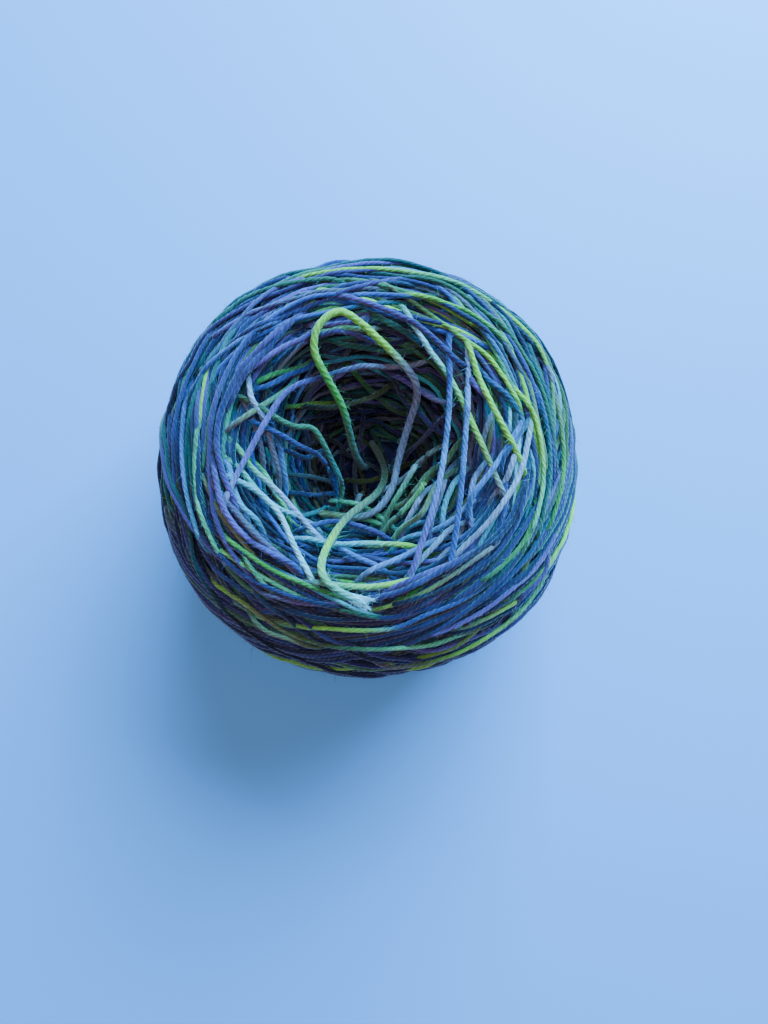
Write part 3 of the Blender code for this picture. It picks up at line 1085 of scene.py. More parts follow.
class Terrain:
    """The top of the cake as seen from above: the greatest height over each cell of a flat grid."""

    CELL = 0.3 * MM
    SPARE_CELLS = 4
    SPOTS = 7
    FREE = 1.0
    BELOW = 1.6 * MM
    CONTACT = 0.8

    def __init__(self, reach: float) -> None:
        """Makes a bare grid at the level of the table.

        Args:
            reach: how far it reaches from the axis.
        """
        self.half = int(reach / self.CELL) + self.SPARE_CELLS
        size = 2 * self.half + 1
        self.top = np.zeros((size, size))
        self.ceiling = np.full((size, size), self.FREE)

    def fill(self, form: CakeForm) -> None:
        """Raises the grid to just below the cake's surface, so that no gap in it is bottomless."""
        place = (np.arange(2 * self.half + 1) - self.half) * self.CELL
        self.top = form.top_at(np.hypot(place[:, None], place[None, :])) - self.BELOW

    def cells(self, x: np.ndarray, y: np.ndarray) -> tuple[np.ndarray, np.ndarray]:
        """The grid cell of each place.

        Args:
            x: places to the right.
            y: places to the back.

        Returns:
            The row and the column of each place.
        """
        last = 2 * self.half
        column = np.clip(np.rint(x / self.CELL).astype(int) + self.half, 0, last)
        row = np.clip(np.rint(y / self.CELL).astype(int) + self.half, 0, last)
        return row, column

    def footprint(self, points: np.ndarray, yarn: Yarn) -> Footprint:
        """The cells that each ring covers, and how far the yarn's skin is from its centre line there.

        Args:
            points: centre line, one row per ring.
            yarn: the yarn that is laid.

        Returns:
            Rows and columns, each rings by cells, and the depths, one for each cell.
        """
        steps = np.linspace(-1, 1, self.SPOTS) * yarn.half_width
        square = [(dx, dy) for dx in steps for dy in steps]
        spots = np.array([spot for spot in square if math.hypot(*spot) <= yarn.half_width])
        depth = np.sqrt(np.maximum(0.0, 1.0 - (spots ** 2).sum(axis=1) / yarn.half_width ** 2))
        row, column = self.cells(points[:, None, 0] + spots[:, 0], points[:, None, 1] + spots[:, 1])
        return row, column, depth * yarn.half_height

    def add(self, points: np.ndarray, yarn: Yarn) -> None:
        """Adds a strand to the terrain."""
        row, column, depth = self.footprint(points, yarn)
        np.maximum.at(self.top, (row, column), points[:, None, 2] + depth)

    def keep_below(self, points: np.ndarray, yarn: Yarn) -> None:
        """Keeps what is laid later under a strand that is already in its place."""
        row, column, depth = self.footprint(points, yarn)
        np.minimum.at(self.ceiling, (row, column), points[:, None, 2] - depth)

    def rest(self, points: np.ndarray, yarn: Yarn) -> np.ndarray:
        """The height at which each ring just clears the terrain."""
        row, column, depth = self.footprint(points, yarn)
        return (self.top[row, column] + self.CONTACT * depth).max(axis=1)

    def limit(self, points: np.ndarray, yarn: Yarn) -> np.ndarray:
        """The height that each ring may reach under the strands that stay on top."""
        row, column, depth = self.footprint(points, yarn)
        return (self.ceiling[row, column] - depth).min(axis=1)


class BridgeLayer:
    """Lays the bridging strands over the finished winding."""

    OVERRUN = 3.2 * MM
    OVERRUN_PER_LIFT = 0.10
    STEPS = 16
    TUCK = 5.6 * MM
    TUCK_DEPTH = 2.7 * MM
    SAG = 0.03
    BEND_UNDER = 6.0 * MM
    HOLD_DOWN = 5.0 * MM
    # painted shade: how much darker the dye is at a tucked end, where the strand dips under the pile
    END_PAINTED_SHADE = 0.6
    RIM_FROM = 0.60

    def __init__(self, form: CakeForm, terrain: Terrain, yarn: Yarn, rim_yarn: Yarn) -> None:
        """Starts from the terrain of the winding.

        Args:
            form: the cake's surface.
            terrain: what the strands lie on.
            yarn: that of the strands over the pit.
            rim_yarn: that of the strands further out.
        """
        self.form = form
        self.terrain = terrain
        self.yarn = yarn
        self.rim_yarn = rim_yarn

    def lay(self, bridge: Bridge) -> Strand:
        """Pulls one strand taut over the terrain, tucks its ends into the pile and darkens them there
        with painted shade.

        Args:
            bridge: the strand as seen from above.

        Returns:
            The strand, already added to the terrain.
        """
        angles = np.radians([knot[0] for knot in bridge.knots])
        shares = np.array([knot[1] for knot in bridge.knots]) / 100
        yarn = self.rim_yarn if shares.mean() > self.RIM_FROM else self.yarn
        reaches = shares * self.form.radius
        knots = np.stack([reaches * np.cos(angles), reaches * np.sin(angles)], axis=1)
        overrun = self.OVERRUN + self.OVERRUN_PER_LIFT * bridge.lift * MM
        before = knots[0] + overrun * unit(knots[0] - knots[1])
        after = knots[-1] + overrun * unit(knots[-1] - knots[-2])
        knots = np.vstack([before, knots, after])
        plan = evenly_spaced(smooth_curve(knots, self.STEPS), yarn.ring_gap)
        places = lengths_along(plan)
        flat = np.column_stack([plan, np.zeros(len(plan))])
        floor = self.terrain.rest(flat, yarn)
        hull = upper_hull(places, floor)
        gap = np.maximum(0.0, hull - floor)
        z = hull - np.minimum(gap, self.SAG * places[-1] * np.sqrt(gap / (gap.max() + TINY)))
        z += bridge.lift * MM
        limit = self.terrain.limit(flat, yarn)
        z = -taut(-np.minimum(z, limit), yarn.ring_gap, self.BEND_UNDER, self.HOLD_DOWN)
        tucked = np.clip(1.0 - np.minimum(places, places[-1] - places) / self.TUCK, 0.0, 1.0)
        depth = self.TUCK_DEPTH * tucked ** 2
        points = np.column_stack([plan, z]) - depth[:, None] * self.form.outward_above(plan)
        self.terrain.add(points, yarn)
        along = lengths_along(points)
        # painted shade: the dye darkens towards both ends as they tuck under the pile
        dye = DyeRun.in_order(along[-1], bridge.dyes).at(along) * (1.0 - self.END_PAINTED_SHADE * tucked[:, None])
        return Strand(points, carried_frame(points, UP), along, dye, yarn)


@dataclass
class BaseTurns:
    """The turns that cross the flat base, laid from the table up, so that the first ones show below."""

    reach: float
    yarn: Yarn = TAUT_YARN
    bundles: int = 26
    side_by_side: int = 4
    nearest: float = 0.10
    farthest: float = 0.80
    outermost: float = 0.95
    apart: tuple[float, float] = (1.0 * MM, 1.5 * MM)
    turned: float = 0.04
    bow: float = 0.05
    bend: float = 16.0 * MM
    hold_up: float = 6.0 * MM
    seed: int = 21

    def strands(self) -> list[Strand]:
        """Lays bundles of nearly straight strands across the base.

        Returns:
            The strands, the lowest ones first.
        """
        dice = np.random.default_rng(self.seed)
        terrain = Terrain(self.reach)
        found = []
        for _ in range(self.bundles):
            way = dice.uniform(0.0, 2 * np.pi)
            offset = dice.uniform(self.nearest, self.farthest) * self.reach
            for _ in range(self.side_by_side):
                found.append(self.strand(terrain, way, offset, dice))
                offset += dice.uniform(*self.apart)
                way += dice.normal(0.0, self.turned)
                if offset > self.outermost * self.reach:
                    break
        return found

    def strand(self, terrain: Terrain, way: float, offset: float, dice: np.random.Generator) -> Strand:
        """Lays one strand across the base.

        Args:
            terrain: what has been laid so far.
            way: direction from the axis to the strand's middle.
            offset: distance of its middle from the axis.
            dice: where its colours come from.

        Returns:
            The strand, already added to the terrain.
        """
        half = math.sqrt(self.reach ** 2 - offset ** 2)
        run = np.arange(-half, half, self.yarn.ring_gap)
        out = offset - self.bow * offset * (run / half) ** 2
        plan = np.column_stack([
            out * math.cos(way) - run * math.sin(way), out * math.sin(way) + run * math.cos(way),
        ])
        flat = np.column_stack([plan, np.zeros(len(plan))])
        rest = np.maximum(terrain.rest(flat, self.yarn), ABOVE_THE_TABLE * self.yarn.half_height)
        points = np.column_stack([plan, taut(rest, self.yarn.ring_gap, self.bend, self.hold_up)])
        terrain.add(points, self.yarn)
        points = points[::self.yarn.keep_every]
        along = lengths_along(points)
        theta = np.arctan2(points[:, 1], points[:, 0])
        dye = DyeRun.by_chance(along[-1], Mix.OUTER, theta, dice).at(along)
        return Strand(points, np.tile(UP, (len(points), 1)), along, dye, self.yarn)


@dataclass
class Fuzz:
    """Fine loose fibres that stand off the yarn."""

    count: int = 18000
    shortest: float = 0.5 * MM
    longest: float = 2.6 * MM
    shortened: tuple[float, float] = (0.5, 1.0)
    steps: int = 3
    slack_share: float = 3.0
    root: float = 0.8
    lean: float = 0.7
    swept: tuple[float, float] = (0.2, 2.2)
    scatter: float = 0.35
    curl: float = 0.35
    lowest: float = 0.05 * MM
    paler: float = 1.25
    seed: int = 31

    def strands(self, sources: Sequence[Strand]) -> list[Strand]:
        """Grows the fibres from strands picked by chance.

        Args:
            sources: the strands that the fibres stand off.

        Returns:
            One strand for each fibre.
        """
        dice = np.random.default_rng(self.seed)
        shares = (self.slack_share if strand.yarn.twisted else 1.0 for strand in sources)
        sizes = np.array([len(strand) * share for strand, share in zip(sources, shares)])
        owners = np.searchsorted(np.cumsum(sizes), dice.uniform(0.0, sizes.sum(), self.count))
        return [self.fibre(sources[owner], dice) for owner in owners]

    def fibre(self, source: Strand, dice: np.random.Generator) -> Strand:
        """Grows one curved fibre from the outer side of a strand.

        Args:
            source: the strand that it stands off.
            dice: what decides.

        Returns:
            The fibre.
        """
        ring = int(dice.integers(1, max(2, len(source) - 1)))
        forward = unit(source.points[ring] - source.points[ring - 1]) * dice.choice([-1.0, 1.0])
        up = source.outward[ring]
        lean = dice.normal(0.0, self.lean)
        out = up * math.cos(lean) + np.cross(forward, up) * math.sin(lean)
        start = source.points[ring] + self.root * source.yarn.half_height * out
        grow = unit(out + forward * dice.uniform(*self.swept) + dice.normal(0.0, self.scatter, 3))
        curl = dice.normal(0.0, self.curl, 3)
        length = dice.uniform(self.shortest, self.longest) * dice.uniform(*self.shortened)
        share = np.linspace(0.0, 1.0, self.steps + 1)[:, None]
        points = start + length * (share * grow + share ** 2 * curl)
        points[:, 2] = np.maximum(points[:, 2], self.lowest)
        dye = np.tile(np.minimum(self.paler * source.dye[ring], BRIGHTEST_DYE), (len(points), 1))
        return Strand(points, carried_frame(points, out), lengths_along(points), dye, HAIR)


@dataclass
class FrayedTip:
    """The cut end of the yarn: its plies come loose and their fibres spread."""

    path: np.ndarray
    dye: Dye = FROST
    loosened: float = 4.6 * MM
    past_the_end: float = 0.3 * MM
    short_of_it: float = 0.9 * MM
    plies: int = 9
    ply_step: float = 0.4 * MM
    ply_twist: float = 2.4
    ply_shades: tuple[float, float] = (0.9, 1.3)
    bound: float = 0.32 * MM
    opened: float = 0.66 * MM
    flare: float = 1.2
    flatness: float = 0.55
    fibres: int = 700
    fibre_steps: int = 7
    fibre_lengths: tuple[float, float] = (0.4 * MM, 1.0 * MM)
    spread: float = 0.38
    lie_flat: tuple[float, float, float] = (1.0, 1.0, 0.7)
    curl: float = 0.25
    drop: float = 0.4 * MM
    paler: float = 1.3
    seed: int = 41

    def line(self, rank: int, dice: np.random.Generator) -> np.ndarray:
        """The centre line of one loosened ply.

        Args:
            rank: its number among the plies.
            dice: what decides.

        Returns:
            Its points, one row each.
        """
        along = lengths_along(self.path)
        forward = unit(self.path[-1] - self.path[-6])
        side = unit(np.cross(forward, UP))
        up = np.cross(side, forward)
        start = along[-1] - self.loosened
        stop = along[-1] + dice.uniform(-self.short_of_it, self.past_the_end)
        run = np.arange(start, stop, self.ply_step)
        base = np.stack([np.interp(run, along, self.path[:, c]) for c in range(3)], axis=1)
        base += forward * np.maximum(0.0, run - along[-1])[:, None]
        share = (run - start) / self.loosened
        angle = 2 * np.pi * rank / self.plies - self.ply_twist * share
        reach = self.bound + self.opened * share ** self.flare
        sideways = side * (reach * np.cos(angle))[:, None]
        return base + sideways + up * (self.flatness * reach * np.sin(angle))[:, None]

    def loose_plies(self) -> list[Strand]:
        """The plies, each one thinner towards its end.

        Returns:
            One strand for each ply.
        """
        dice = np.random.default_rng(self.seed)
        found = []
        for rank in range(self.plies):
            points = self.line(rank, dice)
            shade = np.minimum(np.array(self.dye.value) * dice.uniform(*self.ply_shades), BRIGHTEST_DYE)
            dye = np.tile(shade, (len(points), 1))
            found.append(Strand(points, carried_frame(points, UP), lengths_along(points), dye, PLY))
        return found

    def loose_fibres(self, plies: Sequence[Strand]) -> list[Strand]:
        """The fibres that spread from the plies.

        Args:
            plies: the plies that they spread from.

        Returns:
            One strand for each fibre.
        """
        dice = np.random.default_rng(self.seed + 1)
        found = []
        for _ in range(self.fibres):
            ply = plies[int(dice.integers(len(plies)))]
            ring = int(dice.integers(len(ply) // 3, len(ply)))
            forward = unit(ply.points[-1] - ply.points[-4])
            share = np.linspace(0.0, 1.0, self.fibre_steps)[:, None]
            grow = unit(forward + dice.normal(0.0, self.spread, 3) * self.lie_flat)
            length = dice.uniform(*self.fibre_lengths)
            curl = dice.normal(0.0, self.curl, 3)
            points = ply.points[ring] + length * (share * grow + share ** 2 * curl)
            points[:, 2] = np.maximum(points[:, 2], ply.points[:, 2].min() - self.drop)
            dye = np.tile(np.minimum(self.paler * ply.dye[0], BRIGHTEST_DYE), (len(points), 1))
            found.append(Strand(points, carried_frame(points, UP), lengths_along(points), dye, HAIR))
        return found


# --- meshes -------------------------------------------------------------------------------

def linked(name: str, data: bpy.types.ID) -> bpy.types.Object:
    """Makes an object of a mesh, a lamp or a camera, and links it to the scene.

    Args:
        name: its name.
        data: what it shows.

    Returns:
        The object.
    """
    thing = bpy.data.objects.new(name, data)
    bpy.context.scene.collection.objects.link(thing)
    return thing


def made_of(name: str, shape: bmesh.types.BMesh) -> bpy.types.Object:
    """Makes an object of a shape, which is used up.

    Args:
        name: its name.
        shape: what it shows.

    Returns:
        The object.
    """
    mesh = bpy.data.meshes.new(name)
    shape.to_mesh(mesh)
    shape.free()
    return linked(name, mesh)


@dataclass
class Mill:
    """Rolls strands into closed tubes: a flat grid of rings is made, cut between strands and rolled."""

    margin: float = 0.12
    strip_width: float = 4.5 * MM
    strip_gap: float = 0.002
    spare_width: float = 1.02
    weld_distance: float = 1e-7
    most_triangles: int = 190_000

    def batches(self, strands: Sequence[Strand]) -> list[list[Strand]]:
        """Shares strands out so that no piece has too many triangles.

        Args:
            strands: all of them, with sections alike.

        Returns:
            The strands of each piece.
        """
        batches: list[list[Strand]] = [[]]
        room = self.most_triangles
        for strand in strands:
            cost = 2 * strand.yarn.columns * (len(strand) - 1)
            if cost > room:
                batches.append([])
                room = self.most_triangles
            batches[-1].append(strand)
            room -= cost
        return batches

    def roll(self, name: str, strands: Sequence[Strand]) -> bpy.types.Object:
        """Makes one piece of many strands, all with sections of the same number of columns.

        Args:
            name: the piece's name.
            strands: the strands it holds.

        Returns:
            The piece, linked to the scene.
        """
        columns = strands[0].yarn.columns
        total = sum(len(strand) for strand in strands)
        sheet = bmesh.new()
        bmesh.ops.create_grid(sheet, x_segments=columns, y_segments=total - 1, size=1.0)
        sheet.faces.ensure_lookup_table()
        lasts = np.cumsum([len(strand) for strand in strands])[:-1] - 1
        joins = [sheet.faces[int(last) * columns + column] for last in lasts for column in range(columns)]
        bmesh.ops.delete(sheet, geom=joins, context="FACES_ONLY")
        loose = [edge for edge in sheet.edges if not edge.link_faces]
        bmesh.ops.delete(sheet, geom=loose, context="EDGES")
        mesh = bpy.data.meshes.new(name)
        sheet.to_mesh(mesh)
        sheet.free()
        places = np.vstack([strand.rings().reshape(-1, 3) for strand in strands])
        mesh.vertices.foreach_set("co", places.ravel())
        self.paint(mesh, strands, columns)
        self.weld(mesh)
        mesh.shade_smooth()
        return linked(name, mesh)

    def paint(self, mesh: bpy.types.Mesh, strands: Sequence[Strand], columns: int) -> None:
        """Gives every point its dye, its place along and around the yarn, and a place in a UV map.

        Args:
            mesh: the rings, before they are welded.
            strands: the strands it holds.
            columns: how many columns a section has.
        """
        dye = np.vstack([np.repeat(strand.dye, columns + 1, axis=0) for strand in strands])
        layer = mesh.color_attributes.new("dye", "FLOAT_COLOR", "POINT")
        layer.data.foreach_set("color", np.column_stack([dye, np.ones(len(dye))]).ravel())
        corners = np.empty(len(mesh.loops), int)
        mesh.loops.foreach_get("vertex_index", corners)
        around = np.arange(columns + 1) / columns
        along = np.concatenate([np.repeat(strand.along / MM, columns + 1) for strand in strands])
        ply = np.concatenate([strand.ply_place(around) for strand in strands])
        twist = np.column_stack([along, ply])
        bake = self.strips([strand.along - strand.along[0] for strand in strands], around)
        for name, values in (("OFBake", bake), ("Twist", twist)):
            mesh.uv_layers.new(name=name).data.foreach_set("uv", values[corners].ravel())

    def strips(self, runs: Sequence[np.ndarray], around: np.ndarray) -> np.ndarray:
        """Packs each strand as a strip in rows across the unit square.

        Args:
            runs: length up to each ring, for each strand.
            around: place around the yarn of each column, from 0 to 1.

        Returns:
            Two numbers for each point, in the order of the rings.
        """
        longest = max(run[-1] for run in runs)
        total = sum(run[-1] for run in runs)
        width = max(longest, math.sqrt(total * self.strip_width)) * self.spare_width
        starts, rows, used, row = [], [], 0.0, 0
        gap = self.strip_gap * width
        for run in runs:
            if used + run[-1] > width:
                row += 1
                used = 0.0
            starts.append(used)
            rows.append(row)
            used += run[-1] + gap
        tall = 1.0 / (row + 1)
        parts = []
        for run, start, level in zip(runs, starts, rows):
            u = np.repeat((start + run) / width, len(around))
            v = np.tile((level + self.margin + (1 - 2 * self.margin) * around) * tall, len(run))
            parts.append(np.column_stack([u, v]))
        return np.vstack(parts)

    def weld(self, mesh: bpy.types.Mesh) -> None:
        """Closes each tube along its seam and at its two ends.

        Args:
            mesh: the tubes.
        """
        shape = bmesh.new()
        shape.from_mesh(mesh)
        bmesh.ops.remove_doubles(shape, verts=shape.verts, dist=self.weld_distance)
        shape.to_mesh(mesh)
        shape.free()


# --- finishes -----------------------------------------------------------------------------

class Value:
    """A socket whose value can be used in Python expressions, which add the Math nodes."""

    def __init__(self, graph: "Graph", socket: bpy.types.NodeSocket) -> None:
        """Wraps a socket of a graph."""
        self.graph = graph
        self.socket = socket

    def _math(self, operation: str, first: Any, second: Any) -> "Value":
        """Adds one Math node."""
        return self.graph.node("ShaderNodeMath", {"operation": operation}, {0: first, 1: second})

    def __add__(self, other: Any) -> "Value":
        """This value plus another."""
        return self._math("ADD", self, other)

    __radd__ = __add__

    def __mul__(self, other: Any) -> "Value":
        """This value times another."""
        return self._math("MULTIPLY", self, other)

    __rmul__ = __mul__

    def __sub__(self, other: Any) -> "Value":
        """This value less another."""
        return self._math("SUBTRACT", self, other)

    def __rsub__(self, other: Any) -> "Value":
        """Another value less this one."""
        return self._math("SUBTRACT", other, self)

    def cosine(self) -> "Value":
        """The cosine of this value."""
        return self._math("COSINE", self, 0.0)

    def sine(self) -> "Value":
        """The sine of this value."""
        return self._math("SINE", self, 0.0)


class Graph:
    """The nodes of one material."""

    def __init__(self, name: str) -> None:
        """Starts a material with its shader and output.

        Args:
            name: the material's name.
        """
        self.material = bpy.data.materials.new(name)
        self.material.use_nodes = True
        self.tree = self.material.node_tree
        self.shader = self.tree.nodes["Principled BSDF"]

    def node(self, kind: str, settings: dict[str, Any], inputs: dict[Any, Any], output: Any = 0) -> Value:
        """Adds a node.

        Args:
            kind: the node's type.
            settings: its own properties, set before its sockets.
            inputs: a value or a link for each socket, by name or number.
            output: the socket that is returned, by name or number.

        Returns:
            The chosen output.
        """
        node = self.tree.nodes.new(kind)
        for name, setting in settings.items():
            setattr(node, name, setting)
        for key, value in inputs.items():
            self.feed(node.inputs[key], value)
        return Value(self, node.outputs[output])

    def feed(self, socket: bpy.types.NodeSocket, value: Any) -> None:
        """Links a socket, or sets it.

        Args:
            socket: what is fed.
            value: a number, a colour or the output of a node.
        """
        if isinstance(value, Value):
            self.tree.links.new(value.socket, socket)
        else:
            socket.default_value = value

    def vector(self, x: Any, y: Any, z: Any) -> Value:
        """Joins three numbers to a vector."""
        return self.node("ShaderNodeCombineXYZ", {}, {0: x, 1: y, 2: z})

    def noise(self, place: Value, scale: float, detail: float) -> Value:
        """Noise between 0 and 1 over a place.

        Args:
            place: where it is read.
            scale: how fine it is.
            detail: how many finer layers it has.

        Returns:
            The noise.
        """
        return self.node(
            "ShaderNodeTexNoise", {}, {"Vector": place, "Scale": scale, "Detail": detail}, "Fac",
        )

    def scaled(self, colour: Any, factor: Any) -> Value:
        """A colour times a number."""
        return self.node("ShaderNodeVectorMath", {"operation": "SCALE"}, {0: colour, "Scale": factor})

    def bump(self, height: Value, strength: float, distance: float) -> Value:
        """The normal over a relief.

        Args:
            height: the relief, from 0 to 1.
            strength: how much of it counts.
            distance: how far the highest stands out.

        Returns:
            The normal.
        """
        return self.node(
            "ShaderNodeBump", {}, {"Strength": strength, "Distance": distance, "Height": height},
        )

    def finish(self, inputs: dict[str, Any]) -> bpy.types.Material:
        """Feeds the shader and returns the material.

        Args:
            inputs: a value or a link for each of the shader's sockets.

        Returns:
            The material.
        """
        for name, value in inputs.items():
            self.feed(self.shader.inputs[name], value)
        return self.material


@dataclass(frozen=True)
class Grain:
    """A noise that runs along the yarn and meets itself round it.

    Args:
        along: its bumps in a millimetre of yarn, more or less.
        around: how far out of the middle of the noise the yarn's round lies: more gives more bumps.
        detail: how many finer layers it has.
    """

    along: float
    around: float
    detail: float

    def noise(self, graph: Graph, along: Value, turn: Value) -> Value:
        """The noise at a length along the yarn and an angle round it."""
        place = graph.vector(along * self.along, turn.cosine() * self.around, turn.sine() * self.around)
        return graph.noise(place, 1.0, self.detail)


@dataclass(frozen=True)
class WoolFinish:
    """Matt plied wool: its dye, with painted shade in the valleys between plies, and fine fibres along
    it.
    """

    name: str
    plies: int = 4
    wander: float = 0.16
    # painted shade: how much darker the dye is painted in the valleys between plies
    valley_painted_shade: float = 0.32
    slub_shade: float = 0.3
    fibre_shade: float = 0.85
    speckle_shade: float = 0.75
    slubs: Grain = Grain(0.35, 0.6, 1.0)
    fibres: Grain = Grain(0.7, 5.5, 2.0)
    speckles: Grain = Grain(2.6, 2.2, 2.0)
    relief: float = 0.22 * MM
    relief_strength: float = 0.9
    relief_shares: tuple[float, float, float] = (0.40, 0.35, 0.25)
    roughness: float = 0.9
    sheen: float = 0.35
    sheen_roughness: float = 0.5
    specular: float = 0.25

    def build(self) -> bpy.types.Material:
        """Makes the material.

        Returns:
            The material.
        """
        graph = Graph(self.name)
        dye = graph.node("ShaderNodeAttribute", {"attribute_name": "dye"}, {}, "Color")
        place = graph.node("ShaderNodeUVMap", {"uv_map": "Twist"}, {})
        along = graph.node("ShaderNodeSeparateXYZ", {}, {0: place}, "X")
        around = graph.node("ShaderNodeSeparateXYZ", {}, {0: place}, "Y")
        turn = around * (2 * math.pi)
        slubs = self.slubs.noise(graph, along, turn)
        fibres = self.fibres.noise(graph, along, turn)
        speckles = self.speckles.noise(graph, along, turn)
        crest = 0.5 - 0.5 * ((around + self.wander * slubs) * (2 * math.pi * self.plies)).cosine()
        # painted shade: the dye is darkened in the valleys between the plies, following the crest profile
        shade = 1.0 - self.valley_painted_shade * (1.0 - crest)
        grains = (fibres, self.fibre_shade), (slubs, self.slub_shade), (speckles, self.speckle_shade)
        for grain, strength in grains:
            shade = shade * (1.0 - strength + 2 * strength * grain)
        crest_share, fibre_share, speckle_share = self.relief_shares
        height = crest * crest_share + fibres * fibre_share + speckles * speckle_share
        # base colour: the dye times the painted shade in the ply valleys and the fibres' own grain
        return graph.finish({
            "Base Color": graph.scaled(dye, shade),
            "Normal": graph.bump(height, self.relief_strength, self.relief),
            "Roughness": self.roughness,
            "Sheen Weight": self.sheen,
            "Sheen Roughness": self.sheen_roughness,
            "Specular IOR Level": self.specular,
        })


@dataclass(frozen=True)
class FibreFinish:
    """Single loose fibres: their dye and no relief."""

    name: str = "loose_fibre"
    roughness: float = 0.7
    sheen: float = 0.4

    def build(self) -> bpy.types.Material:
        """Makes the material.

        Returns:
            The material.
        """
        graph = Graph(self.name)
        dye = graph.node("ShaderNodeAttribute", {"attribute_name": "dye"}, {}, "Color")
        return graph.finish({"Base Color": dye, "Roughness": self.roughness, "Sheen Weight": self.sheen})


@dataclass(frozen=True)
class PaintedShadeCoreFinish:
    """The yarn deep in the winding, glimpsed between the turns: only the darkest dyes, navy to indigo,
    partly its dye and partly painted shade in the gaps.
    """

    name: str = "core_yarn_painted_shade"
    lines: float = 260.0
    distortion: float = 6.0
    relief: float = 0.4 * MM
    relief_strength: float = 0.8
    roughness: float = 0.95

    def build(self) -> bpy.types.Material:
        """Makes the material.

        Returns:
            The material.
        """
        graph = Graph(self.name)
        place = graph.node("ShaderNodeTexCoord", {}, {}, "Object")
        lines = graph.node(
            "ShaderNodeTexWave", {"bands_direction": "Z"},
            {"Vector": place, "Scale": self.lines, "Distortion": self.distortion, "Detail": 2.0,
             "Detail Scale": 0.4}, "Fac",
        )
        # painted shade: navy to indigo only, so the gaps between the turns read dark
        blend = graph.node(
            "ShaderNodeMix", {"data_type": "RGBA"},
            {"Factor": lines, "A": (*NAVY.value, 1.0), "B": (*INDIGO.value, 1.0)}, 2,
        )
        bump = graph.bump(lines, self.relief_strength, self.relief)
        return graph.finish({"Base Color": blend, "Normal": bump, "Roughness": self.roughness})


@dataclass(frozen=True)
class TableFinish:
    """A plain pale blue table top with the faintest unevenness."""

    name: str = "table_top"
    colour: tuple[float, float, float] = (0.118, 0.445, 0.93)
    cloud_scale: float = 9.0
    cloud_detail: float = 3.0
    cloud_shade: float = 0.03
    roughness: float = 0.55

    def build(self) -> bpy.types.Material:
        """Makes the material.

        Returns:
            The material.
        """
        graph = Graph(self.name)
        place = graph.node("ShaderNodeTexCoord", {}, {}, "Object")
        cloud = graph.noise(place, self.cloud_scale, self.cloud_detail)
        shade = 1.0 - self.cloud_shade + 2 * self.cloud_shade * cloud
        return graph.finish({"Base Color": graph.scaled(self.colour, shade), "Roughness": self.roughness})


# --- sub-assemblies -----------------------------------------------------------------------

def dress(piece: bpy.types.Object, material: bpy.types.Material, slot: str) -> bpy.types.Object:
    """Gives a piece its finish and its place in the frame.

    Args:
        piece: what is dressed.
        material: its finish.
        slot: the part of the object that it belongs to; not used.

    Returns:
        The same piece.
    """
    piece.data.materials.append(material)
    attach(piece, BODY)
    return piece


def report(piece: bpy.types.Object) -> None:
    """Logs a piece and how many triangles it has."""
    LOG.info("%s: %d triangles", piece.name, sum(len(face.vertices) - 2 for face in piece.data.polygons))


@dataclass
class Core:
    """The inside of the winding: the cake's outline drawn in, so that no gap between turns is empty."""

    form: CakeForm
    depth: float = 2.2 * MM
    steps_around: int = 120
    steps_along: int = 70
    weld_distance: float = 0.02 * MM

    def build(self) -> bpy.types.Object:
        """Spins the outline round the axis.

        Returns:
            The piece.
        """
        s = np.linspace(0.0, self.form.length, self.steps_along)
        drawn_in = np.full_like(s, -self.depth)
        outline = self.form.place(s, np.zeros_like(s), drawn_in)
        outline[[0, -1], 0] = 0.0
        outline[:, 0] = np.maximum(outline[:, 0], 0.0)
        shape = bmesh.new()
        points = [shape.verts.new((x, 0.0, z)) for x, _, z in outline]
        edges = [shape.edges.new(pair) for pair in zip(points, points[1:])]
        bmesh.ops.spin(
            shape, geom=points + edges, axis=(0, 0, 1), cent=(0, 0, 0), dvec=(0, 0, 0),
            angle=2 * math.pi, steps=self.steps_around, use_merge=True, use_duplicate=False,
        )
        bmesh.ops.remove_doubles(shape, verts=shape.verts, dist=self.weld_distance)
        bmesh.ops.recalc_face_normals(shape, faces=shape.faces)
        piece = made_of("wound_core", shape)
        piece.data.shade_smooth()
        # the core carries painted shade for the gaps between the turns
        return dress(piece, PaintedShadeCoreFinish().build(), "wound_yarn")


@dataclass
class Cord:
    """A free length of slack yarn on a route of its own."""

    name: str
    route: tuple[tuple[float, float, float], ...]
    dyes: tuple[Dye, ...]
    node: str
    slot: str
    far_end: str
    trim: float = 0.0
    steps: int = 12
    declare_every: int = 3
    yarn: Yarn = SLACK_YARN
    path: np.ndarray = field(init=False)

    def __post_init__(self) -> None:
        """Smooths the route and trims its far end."""
        path = evenly_spaced(smooth_curve(self.route, self.steps), self.yarn.ring_gap)
        along = lengths_along(path)
        self.path = path[along <= along[-1] - self.trim]

    def strand(self) -> Strand:
        """The cord as a strand, its section carried along without turning.

        Returns:
            The strand.
        """
        along = lengths_along(self.path)
        dye = DyeRun.in_order(along[-1], self.dyes).at(along)
        return Strand(self.path, carried_frame(self.path, (1.0, 0.0, 0.0)), along, dye, self.yarn)

    def build(
        self, mill: Mill, material: bpy.types.Material, with_pieces: Sequence[bpy.types.Object] = (),
    ) -> bpy.types.Object:
        """Args:
            mill: what rolls it.
            material: its finish.
            with_pieces: the pieces that belong to it, such as those of a frayed end; not used.

        Returns:
            The cord.
        """
        strand = self.strand()
        piece = dress(mill.roll(self.name, [strand]), material, self.slot)
        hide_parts(self.node)
        tuple(self.path[0])
        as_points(self.path[::self.declare_every].tolist() + [self.path[-1].tolist()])
        return piece


